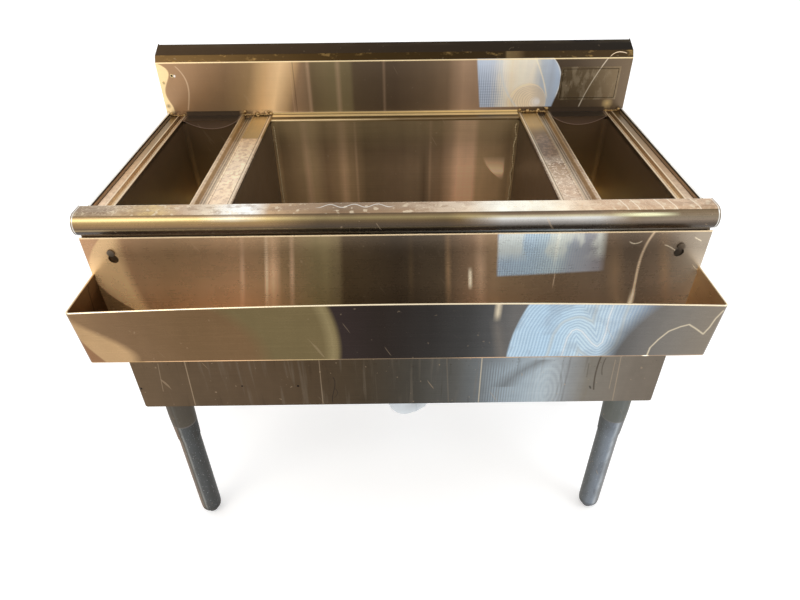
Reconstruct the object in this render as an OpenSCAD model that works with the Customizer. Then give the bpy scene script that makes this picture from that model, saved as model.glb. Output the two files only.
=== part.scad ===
// Underbar ice bin with an insulated ice compartment, two bottle wells, a back splash
// and a lift-off speed rail, on four legs with screw feet. Lengths are in millimetres.
//
// The pieces are drawn in the bin's own frame: x = 0 at the middle, y = 0 at the back edge
// of the front roll with +y to the back, and z = 0 at the top of the roll. place() moves
// them to the part's origin, on the floor under the middle of the whole.

/* [Width] */
// Width of the ice opening
ice_w = 478; // [300:1:700]
// Width of each bottle well
well_w = 108; // [95:1:160]
// Width of the deck between the ice and a bottle well
divider_w = 62; // [56:1:90]
// Width of the deck outside a bottle well, with its rim
strip_w = 35.5; // [35.5:0.5:60]
// How far the roll reaches past each side panel
roll_overhang = 12.7; // [12:0.1:20]

/* [Depth] */
// Front to back depth of the ice and bottle openings
tub_d = 356; // [320:1:500]
// Depth of the ledge behind the openings
ledge_d = 24; // [20:1:50]
// Front to back depth of the splash box
splash_d = 38; // [34:1:60]
// Depth of the flat top of the roll
roll_flat = 20.5; // [18:0.5:40]
// Outer radius of the nose of the roll
nose_r = 17.5; // [16:0.5:22]
// Depth of the box behind the front panel
apron_gap = 22.5; // [21:0.5:24]

/* [Height] */
// Top of the roll above the floor
roll_h = 762; // [730:1:950]
// How far the deck lies below the roll
deck_drop = 6; // [5:0.5:10]
// Depth of the ice compartment below the deck
ice_depth = 305; // [200:1:320]
// Depth of the bottle wells below the deck
well_depth = 165; // [100:1:250]
// Height of the splash face above the roll
splash_h = 94; // [60:1:200]
// Height of the front panel below the roll
panel_h = 393; // [390:1:450]
// Level of the bottom pan below the roll
pan_drop = 360; // [350:1:362]

/* [Sheet] */
// Thickness of the sheet steel
sheet_t = 1.5; // [1:0.1:1.6]
// Inner radius of a fold
fold_r = 0.5; // [0.4:0.1:0.6]
// Corner radius of the ice compartment
ice_corner_r = 12; // [6:1:25]
// Corner radius of the bottle wells
well_corner_r = 8; // [4:1:20]
// Thickness of the folded rim along each side
rim_t = 4; // [3.9:0.1:4.5]
// How far the arched flange of a well sags at its middle
arch_sag = 17; // [10:1:30]
// Thickness of the insulation
foam_t = 25; // [15:1:28]

/* [Speed rail] */
// How far the rim of the rail reaches past each end of the roll
rail_past_roll = 1.3; // [0:0.1:2.3]
// How far each end of the rail leans out, from its base to its rim
rail_end_lean = 2.5; // [0:0.1:8]
// Reach of the rail's rim in front of its back plate
rail_reach = 98; // [85:1:150]
// Reach of the rail's base in front of its back plate
rail_base_reach = 92; // [80:1:150]
// Height of the rail, from its base to its rim
rail_wall_h = 97; // [60:1:150]
// Height of the back plate above the rim
rail_plate_h = 62; // [58:1:90]
// How far the front rim bows in at its middle
rail_bow = 12; // [0:1:20]
// Gap between the roll and the top of the back plate
rail_top_gap = 3.5; // [2:0.5:6]
// Distance of each keyhole in from the end of the roll
keyhole_in = 38.2; // [27.2:0.1:150]
// Travel from the slot to the wide hole of a keyhole
keyhole_lift = 11.2; // [9:0.1:12]
// Diameter of the shank of a rail stud
stud_d = 6; // [5:0.5:6.5]

/* [Legs] */
// Distance of the legs in from the side panels
leg_in = 27.5; // [27.5:0.5:39.5]
// Front legs behind the back edge of the roll
front_leg_y = 19; // [17:1:40]
// Rear legs behind the back edge of the roll
rear_leg_y = 360; // [340:1:368]
// Outer diameter of a leg tube
leg_d = 41.3; // [38:0.1:42]
// Wall of a leg tube
leg_wall = 2; // [1.5:0.1:3]
// Bottom of a leg socket below the roll
socket_drop = 517; // [500:1:560]
// Height of a foot below its tube, screwed right in
foot_h = 25; // [22:1:40]
// Diameter of the screw of a foot
foot_screw_d = 16; // [12:0.5:18]
// Diameter of the tip of a foot
foot_tip_d = 22; // [16:1:28]

/* [Drain] */
// Drain behind the back edge of the roll
drain_y = 185; // [140:1:220]
// Outer diameter of the drain's threaded body
drain_d = 33.4; // [30:0.1:34]
// Outer diameter of the plastic drain pipe
pipe_d = 48.3; // [46:0.1:52]
// Lowest point of the drain elbow below the roll
elbow_drop = 653; // [600:1:680]
// Heading of the drain outlet, from +X towards the back
outlet_angle = 35; // [0:1:90]
// Length of the outlet pipe
outlet_l = 95; // [60:1:140]

/* [Hidden] */

$fn = 64;
LEFT = -1;
RIGHT = 1;
cut_past = 0.01;       // how far a cutter passes a face

// Fits and gaps
running_gap = 0.05;    // radial gap of a sliding or screwed fit
seat_gap = 0.3;        // gap where two pieces rest without touching
slip_gap = 0.15;       // radial gap of a leg tube in its socket

// Where the main faces lie
half_w = ice_w / 2 + divider_w + well_w + strip_w;
roll_w = 2 * (half_w + roll_overhang);
well_in_x = ice_w / 2 + divider_w;
well_out_x = well_in_x + well_w;
splash_y = tub_d + ledge_d;
back_y = splash_y + splash_d;
shell_back_y = back_y - sheet_t;
deck_z = -deck_drop;
flange_z = -deck_drop - 6;             // lower edge of the deck's folds into the tubs
splash_foot_z = flange_z - 10;
roll_foot_z = -2 * nose_r + 5;         // lower edge of the roll's flange
shell_foot_z = -panel_h + 2;
shell_fold_foot_z = shell_foot_z + 11; // the front folds stop above the leg sockets
apron_y = -apron_gap - sheet_t;

// Speed rail
rail_rim_w = roll_w + 2 * rail_past_roll;
rail_base_w = rail_rim_w - 2 * rail_end_lean;
keyhole_x = roll_w / 2 - keyhole_in;
rail_t = 1.5;
rail_stand = 1.5;                      // gap between the front panel and the back plate
rail_back_y = apron_y - rail_stand;
rail_face_y = rail_back_y - rail_t;
rail_top_z = -2 * nose_r - rail_top_gap;
rail_rim_z = rail_top_z - rail_plate_h;
rail_base_z = rail_rim_z - rail_wall_h;
rail_corner_r = 6;
hem_t = 3;
hem_h = 9;
keyhole_slot_r = stud_d / 2 + 0.5;
stud_head_r = stud_d / 2 + 2.5;
keyhole_hole_r = stud_head_r + 2;
stud_z = rail_top_z - 25.3;
total_d = back_y - rail_face_y + rail_reach;

// Legs
leg_x = half_w - leg_in;
leg_y = [front_leg_y, rear_leg_y];
floor_z = -roll_h;
tube_foot_z = floor_z + foot_h;
channel_w = 40;
channel_h = 22;
channel_t = 2;
channel_end = 17;                      // the channel reaches this far past a leg's axis
pan_z = -pan_drop;
channel_foot_z = pan_z - sheet_t - channel_h;
socket_plate = [44, 72, 4];
socket_foot_z = -socket_drop;
socket_r = leg_d / 2 + 3.4;
socket_taper = 63;
socket_grip = 55;                      // length of the tube inside its socket
bolt_d = 6;
bolt_nut_w = 10;                       // across the flats of a bolt's head and nut
bolt_at = [channel_w / 2 - channel_t - bolt_nut_w / 2 / cos(30) - seat_gap, 29];
insert_h = 25;
foot_travel = 25;                      // how far a foot screws out
foot_screw_l = foot_h + foot_travel + 12;

// Drain
ice_floor_z = deck_z - ice_depth;
ice_fall = 6;                          // fall of the floor towards the drain
sump_half_w = 34;
sump_z = ice_floor_z - ice_fall;
drain_bore_r = drain_d / 2 - 4;
drain_flange_r = 32;
drain_flange_t = 2;
drain_body_foot_z = pan_z - sheet_t - 12;
gasket_t = 2;
locknut_h = 6.5;
adapter_wall = 10;
adapter_h = 38;
adapter_collar_h = 14;
adapter_top_z = pan_z - sheet_t - 2;
adapter_foot_z = adapter_top_z - adapter_h;
pipe_top_z = adapter_foot_z + 16;      // the pipe's head, inside the adapter
elbow_r = pipe_d / 2 + 3.4;            // outer radius of the elbow's hubs
elbow_bend_r = 32;
pipe_wall = 4;
elbow_z = -elbow_drop + elbow_r;       // axis of the elbow's outlet
elbow_hub = 26;                        // length of the elbow's hubs
spigot_l = elbow_hub + 1;              // end of the outlet pipe that goes into its hub
spigot_r = pipe_d / 2 - 1;             // turned down, so that the pipe's free wall ends at the hub

steel = "#9a938a";
steel_dark = "#7c766e";
steel_light = "#b5aea2";
zinc = "#6c6d70";
brass = "#b59a5b";
plastic = "#e6ebee";
foam = "#e3d7ae";
rubber = "#333333";

function unit(v) = v / norm(v);
function left_of(v) = [-v[1], v[0]];
function cross2(a, b) = a[0] * b[1] - a[1] * b[0];
function turned(v, a) = [v[0] * cos(a) - v[1] * sin(a), v[0] * sin(a) + v[1] * cos(a)];
function flat(p) = [p[0], p[1]];

// The points of one fold. The sheet's thickness t lies to the left of the path, and the
// inner radius of the fold is fold_r, or the point's own third number.
function fold_at(p, i, t) =
    let (
        before = unit(flat(p[i]) - flat(p[i - 1])),
        after = unit(flat(p[i + 1]) - flat(p[i])),
        turn = atan2(cross2(before, after), before * after),
        inner = len(p[i]) > 2 ? p[i][2] : fold_r,
        r = inner + (turn > 0 ? t : 0),
        start = flat(p[i]) - before * r * tan(abs(turn) / 2),
        middle = start + left_of(before) * r * sign(turn),
        steps = inner > 2 ? 8 : 4
    )
    [for (k = [0:steps]) middle + turned(start - middle, turn * k / steps)];

// A path with each of its inner corners folded
function folded(p, t) = concat(
    [flat(p[0])],
    [for (i = [1:len(p) - 2]) each fold_at(p, i, t)],
    [flat(p[len(p) - 1])]);

// The direction in which point i of a path is offset, scaled so that its sides stay parallel
function mitre(p, i) =
    let (
        before = i == 0 ? undef : left_of(unit(p[i] - p[i - 1])),
        after = i == len(p) - 1 ? undef : left_of(unit(p[i + 1] - p[i]))
    )
    before == undef ? after
    : after == undef ? before
    : (before + after) / (1 + before * after);

function beside(p, t) = [for (i = [0:len(p) - 1]) p[i] + mitre(p, i) * t];
function reversed(p) = [for (i = [len(p) - 1:-1:0]) p[i]];

// The section of a sheet whose visible face is the folded path p, with its thickness to the left
module sheet_section(p, t = sheet_t) {
    face = folded(p, t);
    polygon(concat(face, reversed(beside(face, t))));
}

module place() translate([0, total_d / 2 - back_y, roll_h]) children();

// A section drawn in (y, z), from x0 to x1
module along_x(x0, x1) translate([x0, 0, 0]) rotate([90, 0, 90]) linear_extrude(x1 - x0) children();

// A section drawn in (x, z), from y0 to y1
module along_y(y0, y1) translate([0, y1, 0]) rotate([90, 0, 0]) linear_extrude(y1 - y0) children();

// The right-hand shape, or its mirror image on the left
module on_side(side) mirror([side == LEFT ? 1 : 0, 0, 0]) children();

module block(from, to) translate(from) cube(to - from);

module rounded_rect(from, to, r) {
    translate([from[0] + r, from[1]]) square([to[0] - from[0] - 2 * r, to[1] - from[1]]);
    translate([from[0], from[1] + r]) square([to[0] - from[0], to[1] - from[1] - 2 * r]);
    for (x = [from[0] + r, to[0] - r], y = [from[1] + r, to[1] - r]) translate([x, y]) circle(r);
}

/* Top of the bin */

nose_at = [-roll_flat, -nose_r];
nose_end = 243;                        // angle at which the nose stops, short of the rail's plate

// The part of the plane that the nose of the roll fills
module nose_sector() {
    reach = 3 * nose_r;
    polygon(concat(
        [nose_at],
        [for (a = [90:9:nose_end]) nose_at + reach * [cos(a), sin(a)]]));
}

module front_roll() color(steel_light) place() along_x(-roll_w / 2 + sheet_t, roll_w / 2 - sheet_t) {
    sheet_section([[0, roll_foot_z], [0, 0], [-roll_flat, 0]]);
    intersection() {
        translate(nose_at) difference() {
            circle(nose_r);
            circle(nose_r - sheet_t);
        }
        nose_sector();
    }
}

// The outline of a cap, notched where the back plate of the rail rises beside it
module roll_cap_outline() {
    difference() {
        union() {
            translate(nose_at) circle(nose_r);
            translate([-roll_flat, roll_foot_z]) square([roll_flat, -roll_foot_z]);
        }
        translate([rail_face_y - 0.9, -3 * nose_r])
            square([-apron_gap - rail_face_y + 0.9, 3 * nose_r + rail_top_z + keyhole_lift + 3]);
    }
}

module roll_caps() color(steel_light) place() for (side = [LEFT, RIGHT]) on_side(side)
    along_x(roll_w / 2 - sheet_t, roll_w / 2) roll_cap_outline();

// The deck between the ice and a well: lip, channel, ridge, flat land and rounded rim
module divider_section() sheet_section([
    [well_in_x, flange_z],
    [well_in_x, deck_z + 2],
    [well_in_x - 8, deck_z + 2],
    [well_in_x - 8, deck_z - 5],
    [well_in_x - 23, deck_z - 5],
    [well_in_x - 23, deck_z + 1.2],
    [well_in_x - 26.5, deck_z + 1.2],
    [well_in_x - 27.7, deck_z],
    [ice_w / 2 + 7.5, deck_z],
    [ice_w / 2 + 6, deck_z + 1.5],
    [ice_w / 2, deck_z + 1.5],
    [ice_w / 2, flange_z]]);

module divider(side) color(steel_light) place() on_side(side) along_y(0, splash_y) divider_section();

// The deck outside a well: gutter beside the rim, land, ridge, channel and lip
module side_strip_section() sheet_section([
    [half_w - rim_t, flange_z],
    [half_w - rim_t - 2.5, flange_z],
    [half_w - rim_t - 3.5, deck_z],
    [well_out_x + 17, deck_z],
    [well_out_x + 15.8, deck_z + 1.2],
    [well_out_x + 12.5, deck_z + 1.2],
    [well_out_x + 12.5, deck_z - 4.5],
    [well_out_x + 4.5, deck_z - 4.5],
    [well_out_x + 4.5, deck_z + 1.5],
    [well_out_x, deck_z + 1.5],
    [well_out_x, flange_z]]);

module side_strip(side) color(steel) place() on_side(side) along_y(0, splash_y) side_strip_section();

// The splash: back flange, sloped top, facet and face, in (y, z)
module splash_section() sheet_section([
    [back_y, splash_h - 54],
    [back_y, splash_h + 25],
    [splash_y + 8, splash_h + 12],
    [splash_y, splash_h],
    [splash_y, splash_foot_z]]);

// The ledge behind the ice: a cove below the face, a falling ledge and its folded edge
module ice_ledge_section() sheet_section([
    [splash_y, 14],
    [splash_y, deck_z + 2, 6],
    [tub_d, deck_z - 1.5],
    [tub_d, flange_z]]);

// The arched flange that hangs over the back wall of a well, in (x, z)
module well_arch() {
    half = well_w / 2;
    arch_r = (half * half + arch_sag * arch_sag) / (2 * arch_sag);
    intersection() {
        translate([well_in_x + half, deck_z - arch_sag + arch_r]) circle(arch_r, $fn = 128);
        translate([well_in_x, deck_z - arch_sag - 1]) square([well_w, arch_sag + 1]);
    }
}

module backsplash() color(steel) place() {
    along_x(-half_w + sheet_t, half_w - sheet_t) splash_section();
    along_x(-ice_w / 2, ice_w / 2) ice_ledge_section();
    for (side = [LEFT, RIGHT]) on_side(side) {
        block([well_in_x, tub_d - sheet_t, deck_z - sheet_t],
            [well_out_x, splash_y + sheet_t / 2, deck_z]);
        along_y(tub_d - sheet_t, tub_d) well_arch();
    }
}

module splash_cap_outline() polygon([
    [splash_y, flange_z],
    [splash_y, splash_h],
    [splash_y + 8, splash_h + 12],
    [back_y, splash_h + 25],
    [back_y, splash_h - 54],
    [shell_back_y, splash_h - 54],
    [shell_back_y, flange_z]]);

module splash_caps() color(steel_light) place() for (side = [LEFT, RIGHT]) on_side(side)
    along_x(half_w - sheet_t, half_w) splash_cap_outline();

/* Shell */

// The rim along the top of a side panel, folded back on itself, in (x, z)
module rim_section() difference() {
    union() {
        translate([half_w - rim_t / 2, -rim_t / 2]) circle(rim_t / 2);
        translate([half_w - rim_t, flange_z - sheet_t]) square([rim_t, -flange_z + sheet_t - rim_t / 2]);
    }
    translate([half_w - rim_t + sheet_t, flange_z - sheet_t - 1])
        square([rim_t - 2 * sheet_t, -flange_z + sheet_t + 1 - rim_t / 2]);
}

module side_panel(side) color(steel_dark) place() on_side(side) {
    inner_x = half_w - sheet_t;
    block([inner_x, 0, shell_foot_z], [half_w, shell_back_y, flange_z]);
    along_y(0, splash_y) rim_section();
    block([inner_x - 20, 0, shell_fold_foot_z], [inner_x, sheet_t, roll_foot_z - 1]);
    block([inner_x - 15, front_leg_y + 45, shell_foot_z],
        [inner_x, rear_leg_y - 45, shell_foot_z + sheet_t]);
}

module panel_outline() {
    half = roll_w / 2 - sheet_t - seat_gap;
    top = -2.2;
    corner = 4;
    difference() {
        translate([-half, -panel_h]) square([2 * half, panel_h + top]);
        for (side = [LEFT, RIGHT]) on_side(side) translate([half - corner, -panel_h + corner])
            difference() {
                translate([0, -corner - 1]) square([corner + 1, corner + 1]);
                circle(corner);
            }
    }
}

module front_panel() color(steel_dark) place() {
    half = roll_w / 2 - sheet_t - seat_gap;
    difference() {
        along_y(apron_y, -apron_gap) panel_outline();
        for (x = [-keyhole_x, keyhole_x]) translate([x, apron_y - 1, stud_z])
            rotate([-90, 0, 0]) cylinder(r = stud_d / 2 + running_gap, h = sheet_t + 2);
    }
    for (side = [LEFT, RIGHT]) on_side(side) {
        block([half - sheet_t, -apron_gap, -panel_h + 6], [half, 0, roll_foot_z - 1]);
        block([half_w - sheet_t - 18, -sheet_t, shell_fold_foot_z], [half - sheet_t, 0, roll_foot_z - 1]);
    }
    block([-half + 8, -apron_gap, -panel_h], [half - 8, -apron_gap + 12, -panel_h + sheet_t]);
}

module back_panel() color(steel_dark) place() {
    half = half_w - sheet_t;
    fold_in = 40;
    fold_d = 14;
    block([-half, shell_back_y - sheet_t, shell_foot_z], [half, shell_back_y, splash_h - 34]);
    block([-half + fold_in, shell_back_y - fold_d, shell_foot_z],
        [half - fold_in, shell_back_y - sheet_t, shell_foot_z + sheet_t]);
}

module bottom_pan() color(steel_dark) place() {
    half = half_w - sheet_t;
    front = sheet_t;
    back = shell_back_y - sheet_t;
    skirt = 18;
    difference() {
        union() {
            block([-half, front, pan_z - sheet_t], [half, back, pan_z]);
            for (side = [LEFT, RIGHT]) on_side(side)
                block([half - sheet_t, front, pan_z - skirt], [half, back, pan_z]);
            block([-half, front, pan_z - skirt], [half, front + sheet_t, pan_z]);
            block([-half, back - sheet_t, pan_z - skirt], [half, back, pan_z]);
        }
        translate([0, drain_y, pan_z - 5]) cylinder(d = drain_d + 2, h = 10);
    }
}

/* Tubs */

// The space above the ice compartment's floor, which falls to a flat strip at the drain
module above_floor(drop) along_y(-1, tub_d + sheet_t + 1) polygon([
    [-ice_w, flange_z],
    [-ice_w / 2, ice_floor_z - drop],
    [-sump_half_w, sump_z - drop],
    [sump_half_w, sump_z - drop],
    [ice_w / 2, ice_floor_z - drop],
    [ice_w, flange_z]]);

module ice_space(wall) intersection() {
    translate([0, 0, -roll_h]) linear_extrude(roll_h + flange_z + (wall == 0 ? 1 : 0))
        rounded_rect([-ice_w / 2 - wall, sheet_t - wall], [ice_w / 2 + wall, tub_d + wall],
            ice_corner_r + wall);
    union() {
        above_floor(wall);
        block([-ice_w, -1, flange_z - cut_past], [ice_w, tub_d + sheet_t + 1, 0]);
    }
}

module ice_liner() color(steel) place() difference() {
    ice_space(sheet_t);
    ice_space(0);
    translate([0, drain_y, sump_z - 5]) cylinder(r = drain_d / 2 + seat_gap, h = 10);
}

module bottle_well(side) color(steel) place() on_side(side) {
    floor_z = deck_z - well_depth;
    difference() {
        translate([0, 0, floor_z - sheet_t]) linear_extrude(flange_z - floor_z + sheet_t)
            rounded_rect([well_in_x - sheet_t, 0], [well_out_x + sheet_t, tub_d + sheet_t],
                well_corner_r + sheet_t);
        translate([0, 0, floor_z]) linear_extrude(flange_z - floor_z + 1)
            rounded_rect([well_in_x, sheet_t], [well_out_x, tub_d], well_corner_r);
    }
}

// Foam slabs against the walls and the floor of the ice compartment
module insulation() color(foam) place() {
    gap = 0.2;
    liner_x = ice_w / 2 + sheet_t + gap;
    liner_back = tub_d + sheet_t + gap;
    low_z = sump_z - sheet_t - gap;
    for (side = [LEFT, RIGHT]) on_side(side)
        block([liner_x, gap, low_z], [liner_x + foam_t, liner_back, deck_z - 5 - sheet_t - gap]);
    block([-liner_x, -apron_gap + gap, low_z], [liner_x, -gap, roll_foot_z - 1]);
    block([-liner_x, liner_back, low_z], [liner_x, liner_back + foam_t, splash_foot_z - gap]);
    difference() {
        block([-liner_x, gap, low_z - foam_t - gap], [liner_x, liner_back, low_z - gap]);
        translate([0, drain_y, low_z - foam_t - 1]) cylinder(r = drain_flange_r + 2, h = foam_t + 2);
    }
}

/* Drain */

module drain_axis(z) translate([0, drain_y, z]) children();

module ring(outer_r, inner_r, h) difference() {
    cylinder(r = outer_r, h = h);
    translate([0, 0, -1]) cylinder(r = inner_r, h = h + 2);
}

module drain_body() color(brass) place() difference() {
    union() {
        drain_axis(sump_z) cylinder(r1 = drain_flange_r, r2 = drain_flange_r - 2, h = drain_flange_t);
        drain_axis(drain_body_foot_z) cylinder(d = drain_d, h = sump_z - drain_body_foot_z);
    }
    drain_axis(drain_body_foot_z - 1)
        cylinder(r = drain_bore_r, h = sump_z - drain_body_foot_z + drain_flange_t + 2);
}

module drain_gasket() color(rubber) place()
    drain_axis(sump_z - sheet_t - gasket_t) ring(drain_flange_r - 3, drain_d / 2 + running_gap, gasket_t);

module hexagon_nut(across_flats, bore_r, h) difference() {
    cylinder(d = across_flats / cos(30), h = h, $fn = 6);
    translate([0, 0, -1]) cylinder(r = bore_r, h = h + 2);
}

module drain_locknut() color(brass) place()
    drain_axis(sump_z - sheet_t - gasket_t - locknut_h)
        hexagon_nut(drain_d + 14, drain_d / 2 + running_gap, locknut_h);

// A perforated plate with a knob, and a skirt that drops into the drain's bore
module drain_strainer() color(steel_light) place() drain_axis(sump_z + drain_flange_t) {
    plate_t = 1.2;
    knob_h = 9;
    difference() {
        cylinder(r = drain_flange_r - 4, h = plate_t);
        for (k = [0:7]) rotate(k * 45) translate([7.5, 0, -1]) cylinder(d = 3, h = plate_t + 2);
    }
    translate([0, 0, plate_t]) cylinder(r = 2.5, h = knob_h);
    translate([0, 0, plate_t + knob_h - 4]) cylinder(r = 4.5, h = 4);
    translate([0, 0, -10]) ring(drain_bore_r - running_gap, drain_bore_r - 1.5, 10);
}

// The plastic adapter from the threaded body to the pipe, with its six-sided collar
module drain_adapter() color(plastic) place() difference() {
    union() {
        drain_axis(adapter_top_z - adapter_collar_h)
            cylinder(d = (drain_d + 2 * adapter_wall) / cos(30), h = adapter_collar_h, $fn = 6);
        drain_axis(adapter_foot_z) cylinder(r = pipe_d / 2 + 3, h = adapter_h - adapter_collar_h);
    }
    drain_axis(drain_body_foot_z - seat_gap)
        cylinder(r = drain_d / 2 + running_gap, h = adapter_top_z - drain_body_foot_z + 1);
    drain_axis(adapter_foot_z - 1)
        cylinder(r = pipe_d / 2 + running_gap, h = pipe_top_z - adapter_foot_z + 1);
    drain_axis(adapter_foot_z) cylinder(r = drain_bore_r, h = adapter_h);
}

module drain_pipe() color(plastic) place()
    drain_axis(elbow_z + elbow_bend_r)
        ring(pipe_d / 2, pipe_d / 2 - pipe_wall, pipe_top_z - elbow_z - elbow_bend_r);

// Turns the outlet to its heading about the drain's axis
module outlet_heading() drain_axis(0) rotate(outlet_angle) children();

// A quarter turn of tube, from the foot of the pipe to the head of the outlet
module quarter_bend(outer_r, inner_r) translate([elbow_bend_r, 0, elbow_z + elbow_bend_r])
    rotate([90, 0, 0]) rotate([0, 0, 180]) rotate_extrude(angle = 90)
        translate([elbow_bend_r, 0]) difference() {
            circle(outer_r);
            circle(inner_r);
        }

module drain_elbow() color(plastic) place() outlet_heading() {
    quarter_bend(pipe_d / 2 + 2, pipe_d / 2 - pipe_wall);
    translate([0, 0, elbow_z + elbow_bend_r]) ring(elbow_r, pipe_d / 2 + running_gap, elbow_hub);
    translate([elbow_bend_r, 0, elbow_z]) rotate([0, 90, 0])
        ring(elbow_r, spigot_r + running_gap, elbow_hub);
}

module drain_outlet() color(plastic) place() outlet_heading()
    translate([elbow_bend_r, 0, elbow_z]) rotate([0, 90, 0]) difference() {
        union() {
            cylinder(r = spigot_r, h = spigot_l);
            translate([0, 0, spigot_l]) cylinder(d = pipe_d, h = outlet_l - spigot_l);
        }
        translate([0, 0, -1]) cylinder(r = pipe_d / 2 - pipe_wall, h = outlet_l + 2);
    }

/* Legs */

// A hat channel under the pan, open upwards, which takes the bolts of two sockets
module leg_channel(side) color(zinc) place() on_side(side) difference() {
    top = pan_z - sheet_t;
    front = front_leg_y - channel_end + 2;
    back = rear_leg_y + channel_end + 20;
    union() {
        block([leg_x - channel_w / 2, front, channel_foot_z],
            [leg_x + channel_w / 2, back, channel_foot_z + channel_t]);
        for (x = [leg_x - channel_w / 2, leg_x + channel_w / 2 - channel_t])
            block([x, front, channel_foot_z], [x + channel_t, back, top]);
    }
    for (y = leg_y) at_bolts(y) translate([0, 0, channel_foot_z - 1])
        cylinder(d = bolt_d + 0.4, h = channel_t + 2);
}

// The four bolt places of the socket at y
module at_bolts(y) for (x = [-bolt_at[0], bolt_at[0]], dy = [-bolt_at[1], bolt_at[1]])
    if (y + dy > front_leg_y - channel_end + 2) translate([leg_x + x, y + dy, 0]) children();

module leg_socket(side, y) color(zinc) place() on_side(side) difference() {
    plate_foot = channel_foot_z - socket_plate[2];
    taper_top = socket_foot_z + socket_taper;
    union() {
        translate([leg_x - socket_plate[0] / 2, y - socket_plate[1] / 2 + 12, plate_foot])
            cube(socket_plate - [0, 12, 0]);
        translate([leg_x, y, taper_top]) cylinder(r = socket_r, h = plate_foot - taper_top);
        translate([leg_x, y, socket_foot_z])
            cylinder(r1 = leg_d / 2 + 1.2, r2 = socket_r, h = socket_taper);
    }
    translate([leg_x, y, socket_foot_z - 1])
        cylinder(r = leg_d / 2 + slip_gap, h = socket_grip + 1);
    at_bolts(y) translate([0, 0, plate_foot - 1]) cylinder(d = bolt_d + 0.4, h = socket_plate[2] + 2);
    translate([leg_x, y, socket_foot_z + 30]) rotate([-90, 0, 0])
        cylinder(r = bolt_d / 2 + running_gap, h = socket_r + 5);
}

module leg_tube(side, y) color(zinc) place() on_side(side)
    translate([leg_x, y, tube_foot_z])
        ring(leg_d / 2, leg_d / 2 - leg_wall, socket_foot_z + socket_grip - tube_foot_z);

module foot_insert(side, y) color(rubber) place() on_side(side)
    translate([leg_x, y, tube_foot_z])
        ring(leg_d / 2 - leg_wall, foot_screw_d / 2 + running_gap, insert_h);

// A bullet foot: a screw, a shoulder under the tube, a rounded shell and a tip
module adjustable_foot(side, y) color(zinc) place() on_side(side)
    translate([leg_x, y, floor_z]) rotate_extrude() {
        top = foot_h - seat_gap;
        tip_h = 8;
        shell_r = leg_d / 2 - 0.4;
        tip_r = foot_tip_d / 2;
        polygon(concat(
            [[0, 0], [tip_r - 1, 0], [tip_r, 1], [tip_r, tip_h]],
            [for (a = [0:10:90]) [
                tip_r + (shell_r - tip_r) * sin(a),
                tip_h + (top - tip_h) * (1 - cos(a)) * 0.8]],
            [[shell_r, top], [foot_screw_d / 2, top], [foot_screw_d / 2, foot_screw_l],
             [foot_screw_d / 2 - 1.5, foot_screw_l + 1.5], [0, foot_screw_l + 1.5]]));
    }

module at_all_bolts() for (side = [LEFT, RIGHT], y = leg_y) on_side(side) at_bolts(y) children();

module socket_bolts() color(zinc) place() at_all_bolts()
    translate([0, 0, channel_foot_z - socket_plate[2]]) {
        translate([0, 0, -4]) cylinder(d = bolt_nut_w / cos(30), h = 4, $fn = 6);
        cylinder(d = bolt_d, h = socket_plate[2] + channel_t + 7);
    }

module socket_nuts() color(zinc) place() at_all_bolts()
    translate([0, 0, channel_foot_z + channel_t]) hexagon_nut(bolt_nut_w, bolt_d / 2 + running_gap, 5);

module leg_set_screws() color(zinc) place() for (side = [LEFT, RIGHT], y = leg_y) on_side(side)
    translate([leg_x, y + leg_d / 2 + 0.1, socket_foot_z + 30]) rotate([-90, 0, 0]) difference() {
        cylinder(d = bolt_d, h = 7);
        translate([0, 0, 4]) cylinder(d = 3.5, h = 4, $fn = 6);
    }

/* Speed rail */

// Half of the rail's width at height z, whose ends lean out to the rim
function rail_half(z) =
    (rail_base_w + (rail_rim_w - rail_base_w) * (z - rail_base_z) / rail_wall_h) / 2;

// The front wall in plan, from the end of one rounded corner to the other: t is 0 at the
// base and 1 at the rim, which leans out and bows in at its middle
function rail_front_plan(t) =
    let (
        half = (rail_base_w + (rail_rim_w - rail_base_w) * t) / 2,
        reach = rail_base_reach + (rail_reach - rail_base_reach) * t,
        y = rail_face_y - reach,
        r = rail_corner_r,
        straight = half - r
    )
    concat(
        [for (a = [180:15:255]) [-straight + r * cos(a), y + r + r * sin(a)]],
        [for (k = [-1:1 / 14:1.001])
            let (x = straight * k) [x, y + rail_bow * t * (1 - k * k)]],
        [for (a = [285:15:360]) [straight + r * cos(a), y + r + r * sin(a)]]);

// The section of the wall, which stands on the base: distance in from its outer face, and
// height. The sheet is hemmed inwards along its round rim.
wall_section = concat(
    [[rail_t, rail_base_z + rail_t], [0, rail_base_z + rail_t]],
    [for (a = [180:-30:0]) [hem_t / 2 + hem_t / 2 * cos(a), rail_rim_z - hem_t / 2 + hem_t / 2 * sin(a)]],
    [[hem_t, rail_rim_z - hem_h], [rail_t, rail_rim_z - hem_h]]);

// The faces of a solid lofted through n sections of m points each
function loft_faces(n, m) = concat(
    [[for (j = [0:m - 1]) j]],
    [[for (j = [m - 1:-1:0]) (n - 1) * m + j]],
    [for (i = [0:n - 2], j = [0:m - 1])
        let (a = i * m + j, b = i * m + (j + 1) % m)
        each [[a, a + m, b + m], [a, b + m, b]]]);

// The wall's ends point straight in, so that they meet the end walls face to face
module rail_front() color(steel) place() {
    base = rail_front_plan(0);
    rim = rail_front_plan(1);
    last = len(base) - 1;
    points = [for (i = [0:last], s = wall_section)
        let (
            t = (s[1] - rail_base_z) / rail_wall_h,
            inward = i == 0 ? [1, 0] : i == last ? [-1, 0] : mitre(base, i),
            plan = base[i] + (rim[i] - base[i]) * t + inward * s[0]
        )
        [plan[0], plan[1], s[1]]];
    polyhedron(points, loft_faces(len(base), len(wall_section)), convexity = 4);
}

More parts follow.
